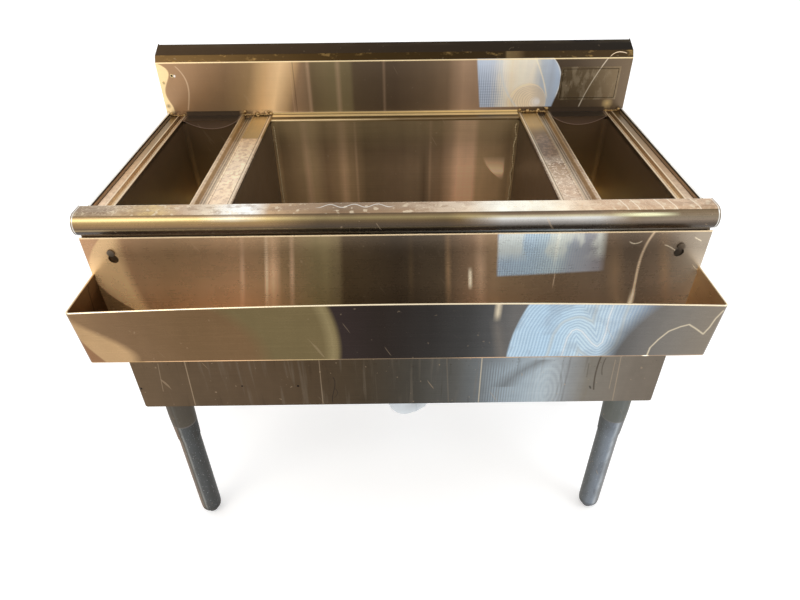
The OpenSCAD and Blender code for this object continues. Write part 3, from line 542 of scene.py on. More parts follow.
def splash_tint(finish):
    """The splash in painted reflections, warm at the left and dark in the middle, with its painted window
    reflection, bevel, ledge and arches, painted highlights and shade, and a painted shadow over each well.
    """
    x, y, z = finish.x, finish.y, finish.z
    slant = x - (z - 0.81) * 0.28
    tone = across(slant, [
        (-0.45, 146, 113, 80), (-0.4, 136, 105, 74), (-0.36, 128, 99, 69), (-0.325, *BRONZE),
        (-0.28, 140, 113, 78), (-0.25, 190, 156, 112), (-0.225, 214, 182, 138), (-0.2, 178, 146, 106),
        (-0.185, 132, 104, 76),
    ])
    middle = across(x, [
        (-0.19, 140, 112, 84), (-0.17, 126, 102, 76), (-0.155, 102, 86, 60), (-0.11, 112, 98, 68),
        (-0.084, 106, 92, 64), (-0.077, 82, 67, 48), (0.0, 76, 61, 45), (0.06, 92, 75, 56),
        (0.1, 110, 90, 68), (0.13, 156, 128, 102), (0.3, 64, 51, 37), (0.34, 66, 53, 38),
        (0.45, 98, 81, 60),
    ])
    tone = tone.blended(middle, above(slant, -0.186, 0.012))
    # Pale upright bands of painted reflection
    bands = ((-0.196, 0.002, 0.3), (-0.163, 0.005, 0.4), (-0.107, 0.007, 0.3), (-0.02, 0.004, 0.2))
    for at, width, share in bands:
        tone = tone.blended(ROSE, near(x, at, width) * share)
    left = curve(z, (0.1545, 0.8516), (0.1645, 0.7672))
    right = curve(z, (0.3011, 0.8518), (0.3113, 0.8348), (0.3104, 0.7899), (0.3039, 0.7665))
    window = above(x, left, 0.003) * below(x, right, 0.003) * above(z, 0.7668, 0.002)
    fold_to = curve(
        z, (-0.4308, 0.8495), (-0.4275, 0.8276), (-0.437, 0.8083), (-0.4358, 0.7887), (-0.4289, 0.7686)
    )
    arch = finish.upright_line([(-0.409, 0.85), (-0.394, 0.823), (-0.396, 0.79), (-0.402, 0.768)], 0.002)
    face = below(y, SPLASH_Y + 0.002, 0.001)
    facet = above(z, FACE_TOP_Z + 0.001, 0.001) * above(y, SPLASH_Y + 0.0002, 0.0004)
    gold = finish.place.stretched(0.4, 1, 1).noise(90, detail=5, roughness=0.7, seed=83)
    bevel = across(x, [
        (-0.44, 66, 50, 28), (-0.1, 50, 36, 16), (0.1, 44, 32, 14), (0.206, 42, 32, 18),
        (0.21, 92, 76, 50), (0.23, 78, 62, 40), (0.245, 46, 34, 19), (0.44, 44, 33, 18),
    ])
    curl = finish.level_line([(0.402, 0.8585), (0.409, 0.863), (0.419, 0.8652), (0.432, 0.8632)], 0.0009)
    top = above(y, SPLASH_Y + 0.0085, 0.001)
    uneven = finish.place.stretched(1, 3, 1).noise(12, detail=4, seed=89)
    ledge = below(z, LEDGE_TOP_Z, 0.001) * within(x, -LEDGE_HALF, LEDGE_HALF, 0.0005)
    # Painted highlights and shade across the ledge
    bar = across(z, [
        (0.751, 120, 100, 66), (0.7534, 198, 174, 132), (0.7543, 198, 174, 132), (0.7549, 120, 96, 56),
        (0.7554, 66, 50, 26), (0.7561, 66, 50, 26), (0.7566, 200, 174, 124), (0.7572, 200, 174, 124),
        (0.7578, 98, 77, 43), (0.7595, 150, 124, 76), (LEDGE_TOP_Z, 140, 116, 74),
    ])
    scorch = finish.place.noise(150, detail=4, seed=111)
    singed = below(z, 0.765, 0.006) * (within(abs(x), 0.24, 0.303, 0.004) + above(abs(x), 0.407, 0.004))
    tone = tone.under(
        (COFFEE, near(x, -0.1905, 0.0015) * 0.5),
        # The painted window reflection, a painted highlight at its right edge and a pale painted highlight
        # on the fold at the left end
        (splash_window_reflection(finish), window),
        (GLARE, near(x, right, 0.0018) * above(z, 0.785, 0.01) * 0.5),
        ((222, 194, 144), below(x, fold_to, 0.0025) * 0.9),
        (COFFEE, finish.spot(-0.4385, 0.776, 0.006) * 0.8),
        # A painted highlight beside the upper screw hole
        (GLARE, finish.spot(-0.4145, 0.8325, 0.0032) * 0.9),
        (SAND, arch * 0.45),
        ((206, 192, 170), finish.upright_line(SPLASH_SCRATCH, 0.0017) * 0.85),
        ((196, 170, 118), finish.spot(0.412, 0.772, 0.012) * 0.7),
        # A painted highlight along the fold at the face's top
        ((220, 197, 152), near(z, FACE_TOP_Z, 0.0016) * face),
        # The bevel in dark painted reflections, with golden marks
        (bevel.blended((128, 102, 60), above(gold, 0.6, 0.08) * 0.45), facet),
        # A painted highlight along the curled corner
        (SAND, curl * facet * 0.7),
        # The top in dark painted reflections, darker to the right
        (across(x, [(-0.45, 60, 43, 22), (0.0, 36, 24, 8), (0.45, 20, 12, 2)]), top),
        ((72, 62, 46), top * above(uneven, 0.55, 0.1) * above(y, SPLASH_Y + 0.03, 0.01) * 0.5),
        # The ledge: painted highlights on its cove and front edge with painted shade between, darker to the
        # right, and a painted highlight line
        (bar, ledge),
        ((80, 61, 34), ledge * below(z, 0.7549, 0.0006) * above(x, -0.06, 0.14) * 0.85),
        ((206, 172, 108), ledge * near(z, 0.7597, 0.0018) * above(x, 0.05, 0.2) * 0.6),
        (COFFEE, singed.clamped() * above(scorch, 0.46, 0.12) * 0.7),
        (SHEET, above(finish.facing()[1], 0.5, 0.2)),
    )
    finish.drive("Metallic", (top + facet).clamped() * 0.6 + 0.35)
    from_middle = (abs(x) - WELL_MIDDLE_X) / WELL_HALF
    over_well = within(from_middle, -0.98, 0.98, 0.06)
    arch_edge = from_middle * from_middle * ARCH_RISE + ARCH_FOOT_Z
    # A painted shadow over each well, with a paler line along its arched foot
    well_shadow = across(z, [
        (0.738, 92, 73, 59), (0.75, 78, 61, 47), (0.7555, 66, 51, 37), (0.7558, 40, 31, 21),
        (0.7563, 40, 31, 21), (0.7568, 60, 47, 34), (WELL_SHADOW_TOP_Z, 56, 44, 32),
    ])
    return tone.under(
        (well_shadow, below(z, WELL_SHADOW_TOP_Z, 0.0008) * over_well * 0.95),
        ((150, 124, 108), near(z, arch_edge + 0.0006, 0.0012) * over_well * 0.7),
    )


def ice_tint(finish):
    """The walls of the ice compartment: soft upright bands of painted reflection at the back, lighter low
    down as painted light, and painted shade in dark brown at the sides.
    """
    x, z = finish.x, finish.z
    tone = across(x, [
        (-0.24, 96, 78, 54), (-0.2, 112, 92, 66), (-0.17, 124, 104, 76), (-0.14, 92, 74, 53),
        (-0.1, 110, 90, 65), (-0.06, 76, 62, 44), (-0.005, 80, 65, 48), (0.06, 88, 73, 55),
        (0.09, 92, 75, 56), (0.11, 122, 100, 78), (0.125, 160, 131, 104), (0.155, 160, 131, 104),
        (0.165, 130, 108, 80), (0.21, 120, 100, 74), (0.24, 84, 70, 50),
    ])
    # Pale upright bands of painted reflection
    bands = ((-0.178, 0.01, 0.2), (-0.079, 0.004, 0.12), (0.069, 0.004, 0.08), (-0.105, 0.012, 0.15))
    for at, width, share in bands:
        tone = tone.blended(ROSE, near(x, at, width) * share)
    wedge_from = curve(z, (0.178, 0.716), (0.176, 0.672), (0.205, 0.633))
    wedge = within(x, wedge_from, 0.219, 0.004) * within(z, 0.633, 0.7, 0.02)
    tone = tone.under(
        ((204, 176, 142), wedge * near(z, 0.642, 0.034) * 0.9),
        (OLIVE, above(z, 0.71, 0.04) * 0.35),
    )
    # Painted light: lighter towards the floor
    tone = finish.shaded(tone, below(z, 0.68, 0.06) * 0.7 + 1)
    side = above(abs(x), 0.2385, 0.0006)
    return tone.under(
        ((62, 49, 34), near(x, 0.057, 0.012) * below(z, 0.68, 0.06) * 0.5),
        # Painted shade on the side walls
        ((66, 52, 38), side * 0.9),
    )


def well_tint(finish):
    """The bottle wells: walls in dark painted shade that turn to painted pale gold light at the floor."""
    tone = across(finish.z, [
        (0.59, 255, 238, 184), (0.597, 246, 216, 158), (0.606, 134, 108, 72), (0.64, 100, 78, 50),
        (0.69, 80, 62, 40), (0.75, 74, 57, 40),
    ])
    # Painted shade, darker near the middle of the walls
    painted_band = near(abs(finish.x), 0.35, 0.02) * above(finish.z, 0.66, 0.1)
    return tone.blended((78, 62, 42), painted_band * 0.25)


LAND_BACK_Y = 0.115
# Painted highlights and shade lines along the folds and edges, that run from front to back, as (from, to,
# tone, share), measured from the middle
DECK_LINES = (
    (0.2395, 0.2412, UMBER, 0.6), (0.2414, 0.2442, (226, 208, 182), 0.8), (0.2445, 0.2466, UMBER, 0.7),
    (0.2466, 0.2478, CREAM, 0.4), (0.2732, 0.2742, UMBER, 0.3), (0.2762, 0.2784, (222, 196, 156), 0.8),
    (0.2784, 0.2797, UMBER, 0.6), (0.2922, 0.2942, (168, 136, 92), 0.8), (0.2942, 0.298, TAN, 0.5),
    (0.2982, 0.3016, (228, 206, 170), 0.85), (0.4094, 0.411, (232, 212, 180), 0.9),
    (0.4116, 0.4126, TAN, 0.6), (0.4212, 0.4222, UMBER, 0.5), (0.4224, 0.4242, (246, 226, 192), 0.7),
    (0.4384, 0.4402, COFFEE, 0.8),
)


def deck_tint(finish):
    """The decks between and beside the tubs: golden at the rear, mottled and polished towards the front, in
    painted reflections lit brighter at the left, with painted highlights and shade along the edges and
    painted shade on the flanges that hang into the tubs.
    """
    x, y = finish.x, finish.y
    off_middle = abs(x)
    patch = finish.place.noise(120, detail=6, roughness=0.7, seed=23)
    broad = finish.place.noise(34, detail=4, seed=25)
    # Painted reflections, pale at the front; the left decks painted lighter than the right
    left = across(y, [
        (-0.15, 234, 210, 180), (-0.1, 240, 214, 182), (0.0, 250, 228, 196), (0.09, 246, 222, 188),
        (0.111, 230, 204, 168), (0.116, 176, 150, 104), (0.2, 190, 162, 110), (0.23, 150, 126, 84),
    ])
    right = across(y, [
        (-0.15, 216, 188, 160), (-0.09, 212, 184, 156), (-0.02, 168, 140, 112), (-0.004, 124, 100, 77),
        (0.08, 120, 97, 74), (0.125, 132, 106, 74), (0.165, 186, 154, 102), (0.23, 176, 146, 94),
    ])
    tone = finish.shaded(left, 1.2).blended(right, above(x, 0, 0.1))
    mottle = above(patch, 0.52, 0.1) * below(y, LAND_BACK_Y, 0.01)
    scribble = scribbles_of(finish, 120, 119) * below(y, 0.01, 0.03) * above(x, 0, 0.1)
    strip = across(y, [
        (-0.15, 226, 198, 168), (-0.03, 190, 154, 114), (0.08, 144, 114, 74), (0.23, 104, 82, 48),
    ])
    # Painted light: the left strip lighter than the right
    strip = finish.shaded(strip, below(x, 0, 0.1) * 0.35 + 0.95)
    ribs = finish.even((96, 78, 60)).blended((206, 188, 162), off_middle.wave(0.0042))
    # Painted light in the strips' channels, which lie in shade
    channel = within(off_middle, 0.4125, 0.421, 0.0007)
    tone = tone.under(
        ((182, 150, 124), mottle * 0.5),
        ((236, 214, 190), above(broad, 0.56, 0.1) * below(y, 0.02, 0.04) * 0.4),
        ((252, 236, 214), scribble * 0.9),
        (strip.blended((134, 108, 80), mottle * 0.3), above(off_middle, 0.4, 0.01)),
        (ribs, within(off_middle, 0.2795, 0.2925, 0.0007) * 0.7),
    )
    tone = finish.shaded(tone.blended((216, 190, 154), channel * 0.8), channel * 0.7 + 1)
    tone = tone.blended((130, 110, 88), near(off_middle, 0.4165, 0.0012) * 0.5)
    for low, high, painted_edge_tone, share in DECK_LINES:
        tone = tone.blended(painted_edge_tone, within(off_middle, low, high, 0.0006) * share)
    # Painted shade on the flanges that hang into the tubs
    hanging = below(off_middle, 0.2393, 0.0003) + within(off_middle, 0.4, 0.4092, 0.0003)
    burnt = finish.place.noise(160, detail=4, seed=107)
    scorched = above(y, 0.2245, 0.006) * within(off_middle, 0.24, 0.3, 0.004)
    return tone.under(
        (COFFEE, hanging.clamped() * below(y, 0.2085, 0.0005) * below(finish.z, 0.7566, 0.0006) * 0.9),
        ((78, 60, 36), scorched * above(burnt, 0.4, 0.2) * 0.8),
    )


NOSE_TOP_Z = 0.762


def roll_tint(finish):
    """The front roll: scuffed, and pale with painted reflections on its flat top; bands of gold, brown and
    black down its nose are painted reflections, and its edges have painted highlights.
    """
    x, y, z = finish.x, finish.y, finish.z
    patch = finish.place.stretched(0.6, 1, 1).noise(70, detail=6, roughness=0.7, seed=29)
    sway = x + (finish.place.noise(12, seed=31) - 0.5) * 0.03
    # Painted reflections on the flat top, with painted highlights where it turns white
    flat = across(sway, [
        (-0.46, 150, 132, 106), (-0.4, 180, 156, 128), (-0.345, 216, 186, 128), (-0.31, 194, 166, 136),
        (-0.26, 234, 218, 194), (-0.235, *GLARE), (-0.205, *GLARE), (-0.18, 194, 162, 126),
        (-0.08, 124, 99, 73), (0.0, 156, 130, 102), (0.1, 222, 202, 178), (0.15, 255, 253, 240),
        (0.22, 252, 244, 224), (0.26, 248, 226, 198), (0.46, 240, 216, 188),
    ])
    # Painted reflections in bands down the nose
    nose = across(z, [
        (0.729, *SOOT), (0.7365, *SOOT), (0.739, 84, 68, 50), (0.741, 166, 144, 106), (0.743, 92, 73, 50),
        (0.747, 140, 110, 74), (0.752, 172, 140, 90), (0.7555, 226, 200, 138), (0.758, 170, 140, 96),
        (0.7596, 130, 104, 72),
    ])
    cool = across(z, [
        (0.729, *SOOT), (0.7365, 40, 35, 33), (0.7415, 84, 80, 76), (0.7465, 142, 139, 136),
        (0.7495, 190, 188, 185), (0.7525, 232, 234, 232), (0.7548, 208, 198, 168), (0.757, 112, 92, 74),
        (0.7596, 84, 68, 52),
    ])
    brown = across(z, [
        (0.729, *SOOT), (0.7355, *COFFEE), (0.741, 78, 66, 54), (0.7455, 108, 94, 80),
        (0.7485, 138, 122, 104), (0.7515, 136, 122, 102), (0.754, 132, 114, 90), (0.757, 92, 72, 44),
        (0.7596, 92, 72, 44),
    ])
    middle = within(x, -0.15, 0.11, 0.08)
    gleam = near(x, 0.352, 0.05) * near(z, 0.7548, 0.0028)
    on_flat = above(z, NOSE_TOP_Z - 0.0022, 0.0006)
    # Brown at the right, a cool window reflection, a painted highlight, painted shade in the middle and a
    # painted highlight at the left
    nose = nose.under(
        (brown, above(x, 0.3, 0.1)),
        (cool, above(x, 0.12, 0.06) * below(x, 0.31, 0.05) * 0.9),
        ((250, 248, 200), (gleam * 1.6).clamped() * 0.9),
        ((88, 71, 52), middle * near(z, 0.747, 0.012) * 0.65),
        (GLARE, near(x, -0.23, 0.05) * near(z, 0.756, 0.005) * 0.5),
    )
    # Painted shade: darker in the middle
    nose = finish.shaded(nose, 0.9 - middle * 0.5)
    flat = flat.under(
        ((150, 120, 92), above(patch, 0.53, 0.1) * (0.6 - within(x, 0.1, 0.26, 0.06) * 0.5)),
        ((194, 158, 124), above(x, 0.27, 0.06) * 0.75),
        (CREAM, above(finish.place.noise(95, detail=4, seed=97), 0.6, 0.05) * 0.5),
    )
    tone = nose.blended(flat, on_flat)
    knots_left = scribbles_of(finish, 90, 127) * below(x, -0.375, 0.03)
    knots_right = scribbles_of(finish, 70, 131) * within(x, 0.24, 0.5, 0.03) * 0.6
    loops = near(y, x.wave(0.034) * 0.009 - 0.162, 0.0016) * within(x, -0.11, -0.005, 0.01)
    tone = tone.under(
        # A painted highlight along the flat's rear edge
        ((250, 236, 212), near(y, -0.1475, 0.0018) * on_flat * 0.7),
        ((236, 216, 184), (knots_left + knots_right).clamped() * on_flat * 0.6),
        ((126, 104, 80), above(patch, 0.5, 0.1) * above(abs(x), 0.405, 0.03) * on_flat * 0.4),
        # A painted highlight along each end, with a greyer line beyond it
        (GLARE, near(abs(x), 0.4549, 0.0011) * 0.8),
        ((120, 106, 90), above(abs(x), 0.4562, 0.0006) * 0.8),
        (GLARE, loops * on_flat * 0.75),
    )
    for at in (0.322, 0.338, 0.372, 0.391, 0.424):
        line = near(x, curve(y, (at, -0.149), (at + 0.004, -0.166)), 0.0016)
        tone = tone.blended((250, 234, 208), line * on_flat * 0.85)
    return tone


# Upright lines, as (points, half width, tone, share)
PANEL_LINES = (
    ([(-0.362, 0.478), (-0.366, 0.37)], 0.0014, SAND, 0.5),
    ([(-0.408, 0.474), (-0.415, 0.407)], 0.0012, SAND, 0.3),
    ([(-0.134, 0.477), (-0.136, 0.37)], 0.0012, SAND, 0.35),
    ([(0.083, 0.478), (0.09, 0.37)], 0.0016, STONE, 0.5),
    ([(0.143, 0.478), (0.144, 0.37)], 0.0016, CREAM, 0.6),
    ([(0.379, 0.478), (0.386, 0.37)], 0.0014, SAND, 0.4),
    ([(0.371, 0.47), (0.374, 0.4)], 0.001, SAND, 0.4),
    ([(-0.113, 0.437), (-0.111, 0.42), (-0.115, 0.4), (-0.118, 0.373)], 0.0012, SOOT, 0.9),
    ([(-0.112, 0.41), (-0.108, 0.398), (-0.115, 0.386)], 0.0009, SOOT, 0.8),
    ([(0.345, 0.478), (0.343, 0.45), (0.344, 0.42), (0.347, 0.398)], 0.0022, COFFEE, 0.8),
    ([(0.354, 0.474), (0.352, 0.45), (0.355, 0.434)], 0.0016, COFFEE, 0.6),
    ([(0.327, 0.462), (0.329, 0.429)], 0.0014, COFFEE, 0.4),
    ([(0.338, 0.408), (0.341, 0.401)], 0.0026, SOOT, 0.9),
)


def front_panel_tint(finish):
    """The front panel below the rail, with drips, a crack, a few holes as dark dots of painted shade and a
    faint painted window reflection.
    """
    x, z = finish.x, finish.z
    # Pale blue at the right is part of the painted window reflection
    tone = across(x, [
        (-0.46, 120, 98, 74), (-0.38, 106, 87, 66), (-0.28, 101, 82, 62), (-0.16, 90, 73, 54),
        (-0.06, 78, 66, 51), (0.03, 78, 74, 67), (0.1, 98, 97, 93), (0.16, 128, 134, 138),
        (0.21, 164, 175, 182), (0.25, 186, 197, 204), (0.29, 166, 170, 172), (0.33, 138, 132, 122),
        (0.4, 134, 124, 112), (0.46, 128, 117, 104),
    ])
    drip = finish.place.stretched(1, 1, 0.05).noise(120, seed=41)
    # The painted window reflection: faint blinds and rings
    faint = x.wave(0.0046) * within(x, 0.155, 0.26, 0.03) * below(z, 0.46, 0.02)
    rings = finish.place.stretched(1, 0, 0.4).from_point((0.262, 0, 0.158))
    smear = finish.upright_line([(0.25, 0.472), (0.205, 0.437), (0.186, 0.408)], 0.026)
    tone = tone.under(
        (STONE, above(drip, 0.62, 0.1) * 0.22),
        (COFFEE, above(1 - drip, 0.66, 0.08) * 0.25),
        ((196, 214, 226), faint * 0.4),
        ((206, 216, 220), rings.wave(0.007) * below(rings, 0.03, 0.015) * 0.35),
        ((92, 88, 84), smear * 0.5),
    )
    for line, width, mark, share in PANEL_LINES:
        tone = tone.blended(mark, finish.upright_line(line, width) * share)
    # Dark dots of painted shade for the holes
    for at_x, at_z, size in ((-0.176, 0.4165, 0.0026), (-0.274, 0.418, 0.002), (-0.452, 0.415, 0.0026)):
        tone = tone.blended((22, 16, 12), (finish.spot(at_x, at_z, size) * 3).clamped())
    specks = above(finish.place.noise(260, detail=1, seed=101), 0.7, 0.02)
    return tone.blended(COFFEE, specks * above(z, 0.458, 0.02) * 0.5)


SIDE_FACE_X = 0.4432


def side_tint(finish):
    """The side panels: plain outside, with a painted highlight along the rim, painted shade on its inner
    face, pale low down, and a painted shade line at its outer edge.
    """
    # The rim's painted light and shade: pale low on the inner face, painted shade above, a painted highlight
    # on top
    rim = across(finish.z, [
        (0.7535, 244, 214, 174), (0.757, 216, 182, 142), (0.7585, 52, 38, 24), (0.7606, 30, 22, 14),
        (0.7612, *GLARE), (0.7622, *GLARE),
    ])
    on_rim = within(abs(finish.x), 0.43, SIDE_FACE_X, 0.0004) * above(finish.z, 0.753, 0.001)
    tone = finish.even((112, 97, 78)).blended(rim, on_rim)
    # A painted shade line along the outer edge
    return tone.blended(SOOT, above(abs(finish.x), SIDE_FACE_X, 0.0004) * above(finish.z, 0.7602, 0.0006))


def tube_tones(finish):
    """Dull grey steel with painted light and shade across each tube: brown at the outer side of the left
    legs, bluer with a pale painted highlight streak on the right.
    """
    x = finish.x
    # Painted shading across each tube, the left legs darker and the right ones lit bluer, each with a pale
    # painted highlight streak
    left = across(x, [
        (-0.438, 96, 74, 54), (-0.428, 112, 90, 68), (-0.4235, 74, 70, 62), (-0.4205, 130, 130, 126),
        (-0.417, 78, 80, 80), (-0.405, 66, 68, 68), (-0.396, 48, 48, 46),
    ])
    right = across(x, [
        (0.396, 74, 76, 74), (0.405, 106, 112, 118), (0.416, 118, 126, 136), (0.4215, 160, 166, 172),
        (0.427, 118, 120, 122), (0.438, 98, 94, 88),
    ])
    tone = left.blended(right, above(x, 0, 0.2))
    stain = finish.place.stretched(1, 1, 0.3).noise(60, detail=6, roughness=0.7, seed=43)
    fleck = above(finish.place.noise(380, detail=1, seed=45), 0.68, 0.04)
    return tone.under(
        ((60, 56, 50), above(stain, 0.54, 0.12) * 0.35),
        ((176, 180, 182), fleck * 0.4),
    )


TUBE_TOP_Z = 0.2875


def casting_tint(finish):
    """Grey cast sockets, a little olive above a ring and like the tubes below it, and dark feet."""
    olive = finish.even((76, 68, 56)).blended((92, 93, 86), above(finish.x, 0, 0.2))
    tone = tube_tones(finish).blended(olive, above(finish.z, TUBE_TOP_Z, 0.002) * 0.85)
    return tone.under(
        (PEWTER, near(finish.z, TUBE_TOP_Z, 0.0025) * 0.5),
        ((56, 52, 46), below(finish.z, 0.02, 0.02) * 0.7),
    )


def dull(name, tone, roughness, metallic=0, speckle=0.2, depth=0.0002, scale=160, gloss=0.5):
    """Cast metal, plastic, rubber or foam, with its own fine texture."""
    finish = Finish(name)
    finish.shader.inputs["Specular IOR Level"].default_value = gloss
    texture = finish.place.noise(scale, detail=4, seed=47)
    tones = {0: texture * speckle, 6: colour(tone), 7: colour(tone, 1.5)}
    finish.drive("Base Color", texture.node("ShaderNodeMix", {"data_type": "RGBA"}, tones, output=2))
    finish.fixed(metallic, roughness)
    finish.drive("Roughness", (texture - 0.5) * 0.2 + roughness)
    finish.bump(texture, depth)
    return finish.material


def ending(*words):
    return [name for name in NODES if name.endswith(words)]


# Each finish, with the CAD pieces that have it
# A lift above 1 paints light into a whole part, one below 1 paints shade
FINISHES = (
    (steel("rail_front_steel", rail_front_tint, "x", 0.26, wear=0.35, lift=0.74, streaks=0.12),
     ["rail_front"]),
    (steel("rail_end_steel", rail_end_tint, "y", 0.3), ["rail_left_end", "rail_right_end"]),
    (steel("rail_back_steel", rail_back_tint, "x", 0.28, metallic=0.4, lift=1.5, brush=0.1),
     ["rail_trough"]),
    (steel("splash_steel", splash_tint, "x", 0.3, wear=0.3, lift=1.45, depth=0.000006, brush=0.08),
     ["backsplash", "splash_caps"]),
    (steel("ice_steel", ice_tint, "x", 0.34, metallic=0.3, lift=1.8, streaks=0.3, gloss=0.3), ["ice_liner"]),
    (steel("well_steel", well_tint, "x", 0.36, wear=0.15, metallic=0.3, lift=1.5, gloss=0.2),
     ["left_bottle_well", "right_bottle_well"]),
    (steel("deck_steel", deck_tint, "y", 0.34, wear=0.8, metallic=0.65, depth=0.00004, streaks=0),
     ["left_divider", "right_divider", "left_side_strip", "right_side_strip"]),
    (steel("side_steel", side_tint, "x", 0.36, wear=0.7, metallic=0.7, gloss=0.3),
     ["left_side_panel", "right_side_panel"]),
    (steel("roll_steel", roll_tint, "x", 0.27, wear=0.8, metallic=0.5, depth=0.00004, streaks=0),
     ["front_roll", "roll_caps"]),
    (steel("front_panel_steel", front_panel_tint, "x", 0.36, wear=0.8, lift=0.66), ["front_panel"]),
    (steel("shell_steel", plain(SHEET), "x", 0.36, wear=0.7), ["back_panel", "bottom_pan"]),
    (steel("stud_steel", plain((118, 106, 92)), "z", 0.3), ["drain_strainer", "rail_studs"]),
    (steel("leg_tube_steel", tube_tones, "z", 0.46, wear=0.8, metallic=0.7),
     ["left_leg_channel", "right_leg_channel"] + ending("_leg")),
    (steel("socket_casting", casting_tint, "z", 0.6, wear=0.9, metallic=0.6, depth=0.0003, streaks=0),
     ending("_socket", "_foot")),
    (dull("zinc_plate", (128, 126, 122), 0.4, metallic=1),
     ["socket_bolts", "socket_nuts", "leg_set_screws", "rail_stud_nuts"]),
    (dull("plated_brass", (150, 124, 82), 0.35, metallic=1), ["drain_body", "drain_locknut"]),
    (dull("drain_plastic", (206, 212, 217), 0.34, speckle=0.05),
     ["drain_adapter", "drain_pipe", "drain_elbow", "drain_outlet"]),
    (dull("insert_plastic", (26, 26, 26), 0.5), ending("_insert")),
    (dull("gasket_rubber", (24, 24, 24), 0.6), ["drain_gasket"]),
    (dull("foam", (214, 194, 132), 0.9, depth=0.0008, scale=400), ["insulation"]),
)


def dress():
    """Gives each CAD piece its finish."""
    for material, names in FINISHES:
        for name in names:
            slots = NODES[name].data.materials
            slots.clear()
            slots.append(material)


# Welds, which lie where the decks meet the splash and in the ice tub's back corners

DECK_Z = 0.756
TUB_BACK_Y = 0.2095
ICE_HALF = 0.239
ICE_CORNER_R = 0.012
ICE_FLOOR_Z = 0.452
WELL_INNER = 0.301
WELL_OUTER = 0.409
STRIP_OUTER = 0.438
# How far a rounded corner stays from the square one, as a share of its radius
CORNER_SHARE = 0.29


def piece(name, mesh, material, body, smooth=True):
    """An object made of a bmesh, which is freed."""
    data = bpy.data.meshes.new(name)
    mesh.to_mesh(data)
    mesh.free()
    data.polygons.foreach_set("use_smooth", [smooth] * len(data.polygons))
    data.materials.append(material)
    made = bpy.data.objects.new(name, data)
    bpy.context.scene.collection.objects.link(made)
    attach(made, body)


def beads(drops):
    """A row of drops, given as (point, radius), each a little different."""
    mesh = bmesh.new()
    for k, (point, radius) in enumerate(drops):
        swell = 1 + 0.25 * math.sin(k * 2.4) + 0.15 * math.sin(k * 5.1)
        drop = bmesh.ops.create_icosphere(mesh, subdivisions=2, radius=radius * swell)
        shift = Vector(point) + Vector((0, 0, 0.0006 * math.sin(k * 3.7)))
        bmesh.ops.translate(mesh, verts=drop["verts"], vec=shift)
    return mesh


def between(start, end, count, radius):
    a, b = Vector(start), Vector(end)
    return [(a.lerp(b, k / (count - 1)), radius) for k in range(count)]


def wander(height):
    """How far the right seam strays sideways at a height."""
    return 0.0016 * math.sin(height * 160) * math.sin(height * 37)


# Lumps of the welds at the back of the dividers, as (share of the width, height, forward, radius)
LUMPS = {
    "left": ((0.06, 0.0045, 0.0, 0.0026), (0.1, 0.0068, 0.0005, 0.0022), (0.5, 0.0, 0.004, 0.0022),
             (0.52, 0.003, 0.002, 0.0024), (0.55, -0.001, 0.006, 0.0026), (0.9, 0.0055, 0.0, 0.0028),
             (0.98, 0.002, 0.001, 0.0024)),
    "right": ((0.04, 0.003, 0.0, 0.003), (0.3, 0.002, 0.002, 0.0026), (0.62, 0.001, 0.004, 0.0028),
              (0.66, 0.004, 0.002, 0.0022), (0.96, 0.005, 0.0, 0.0032), (0.9, 0.0075, 0.0, 0.002)),
}
LUMP_SWELL = 1.35
# Lumps of the strips' welds, as (distance from the middle, forward, height, radius)
STRIP_LUMPS = ((0.4115, 0.002, 0.003, 0.0026), (0.436, 0.001, 0.004, 0.003))


def weld_beads():
    """The rough beads behind the dividers and strips, and the seams in the ice tub's back corners."""
    bead = dull("weld_bead", (148, 120, 78), 0.3, metallic=0.8, speckle=0.7, depth=0.0006)
    seam = dull("weld_seam", (168, 148, 112), 0.4, metallic=0.5, speckle=0.5, depth=0.0004)
    back_y, foot_z = SPLASH_Y - 0.001, DECK_Z + 0.0015
    for side, word in ((-1, "left"), (1, "right")):
        outer, inner = WELL_INNER - 0.003, ICE_HALF + 0.002
        drops = between((side * outer, back_y, foot_z), (side * inner, back_y, foot_z), 34, 0.0017)
        for share, height, forward, radius in LUMPS[word]:
            at_x = outer + (inner - outer) * (share if side < 0 else 1 - share)
            at = (side * at_x, SPLASH_Y - 0.0005 - forward, foot_z + height)
            drops.append((at, radius * LUMP_SWELL))
        piece(f"{word}_divider_weld", beads(drops), bead, "bin")
        start, end = (side * WELL_OUTER, back_y, DECK_Z + 0.002), (side * STRIP_OUTER, back_y, foot_z)
        drops = between(start, end, 20, 0.0013)
        for at_x, forward, height, radius in STRIP_LUMPS:
            drops.append(((side * at_x, SPLASH_Y - forward, DECK_Z + height), radius))
        piece(f"{word}_strip_weld", beads(drops), bead, "bin")
        seam_x = side * (ICE_HALF - ICE_CORNER_R * CORNER_SHARE - 0.0002)
        seam_y = TUB_BACK_Y - ICE_CORNER_R * CORNER_SHARE - 0.0002
        start, end = (seam_x, seam_y, DECK_Z - 0.014), (seam_x, seam_y, ICE_FLOOR_Z + 0.004)
        drops = between(start, end, 150, 0.0016)
        if side > 0:
            drops = [((at.x + wander(at.z), at.y, at.z), radius * 1.15) for at, radius in drops]
        piece(f"{word}_ice_corner_weld", beads(drops), seam, "bin")


# The bare plate on the splash, and the two small holes at the splash's left end

PLATE_X = (0.314, 0.426)
PLATE_Z = (0.779, 0.841)
BORDER_INSET = 0.0035
BORDER_WIDE = 0.0011
RIM_DROPS = 40


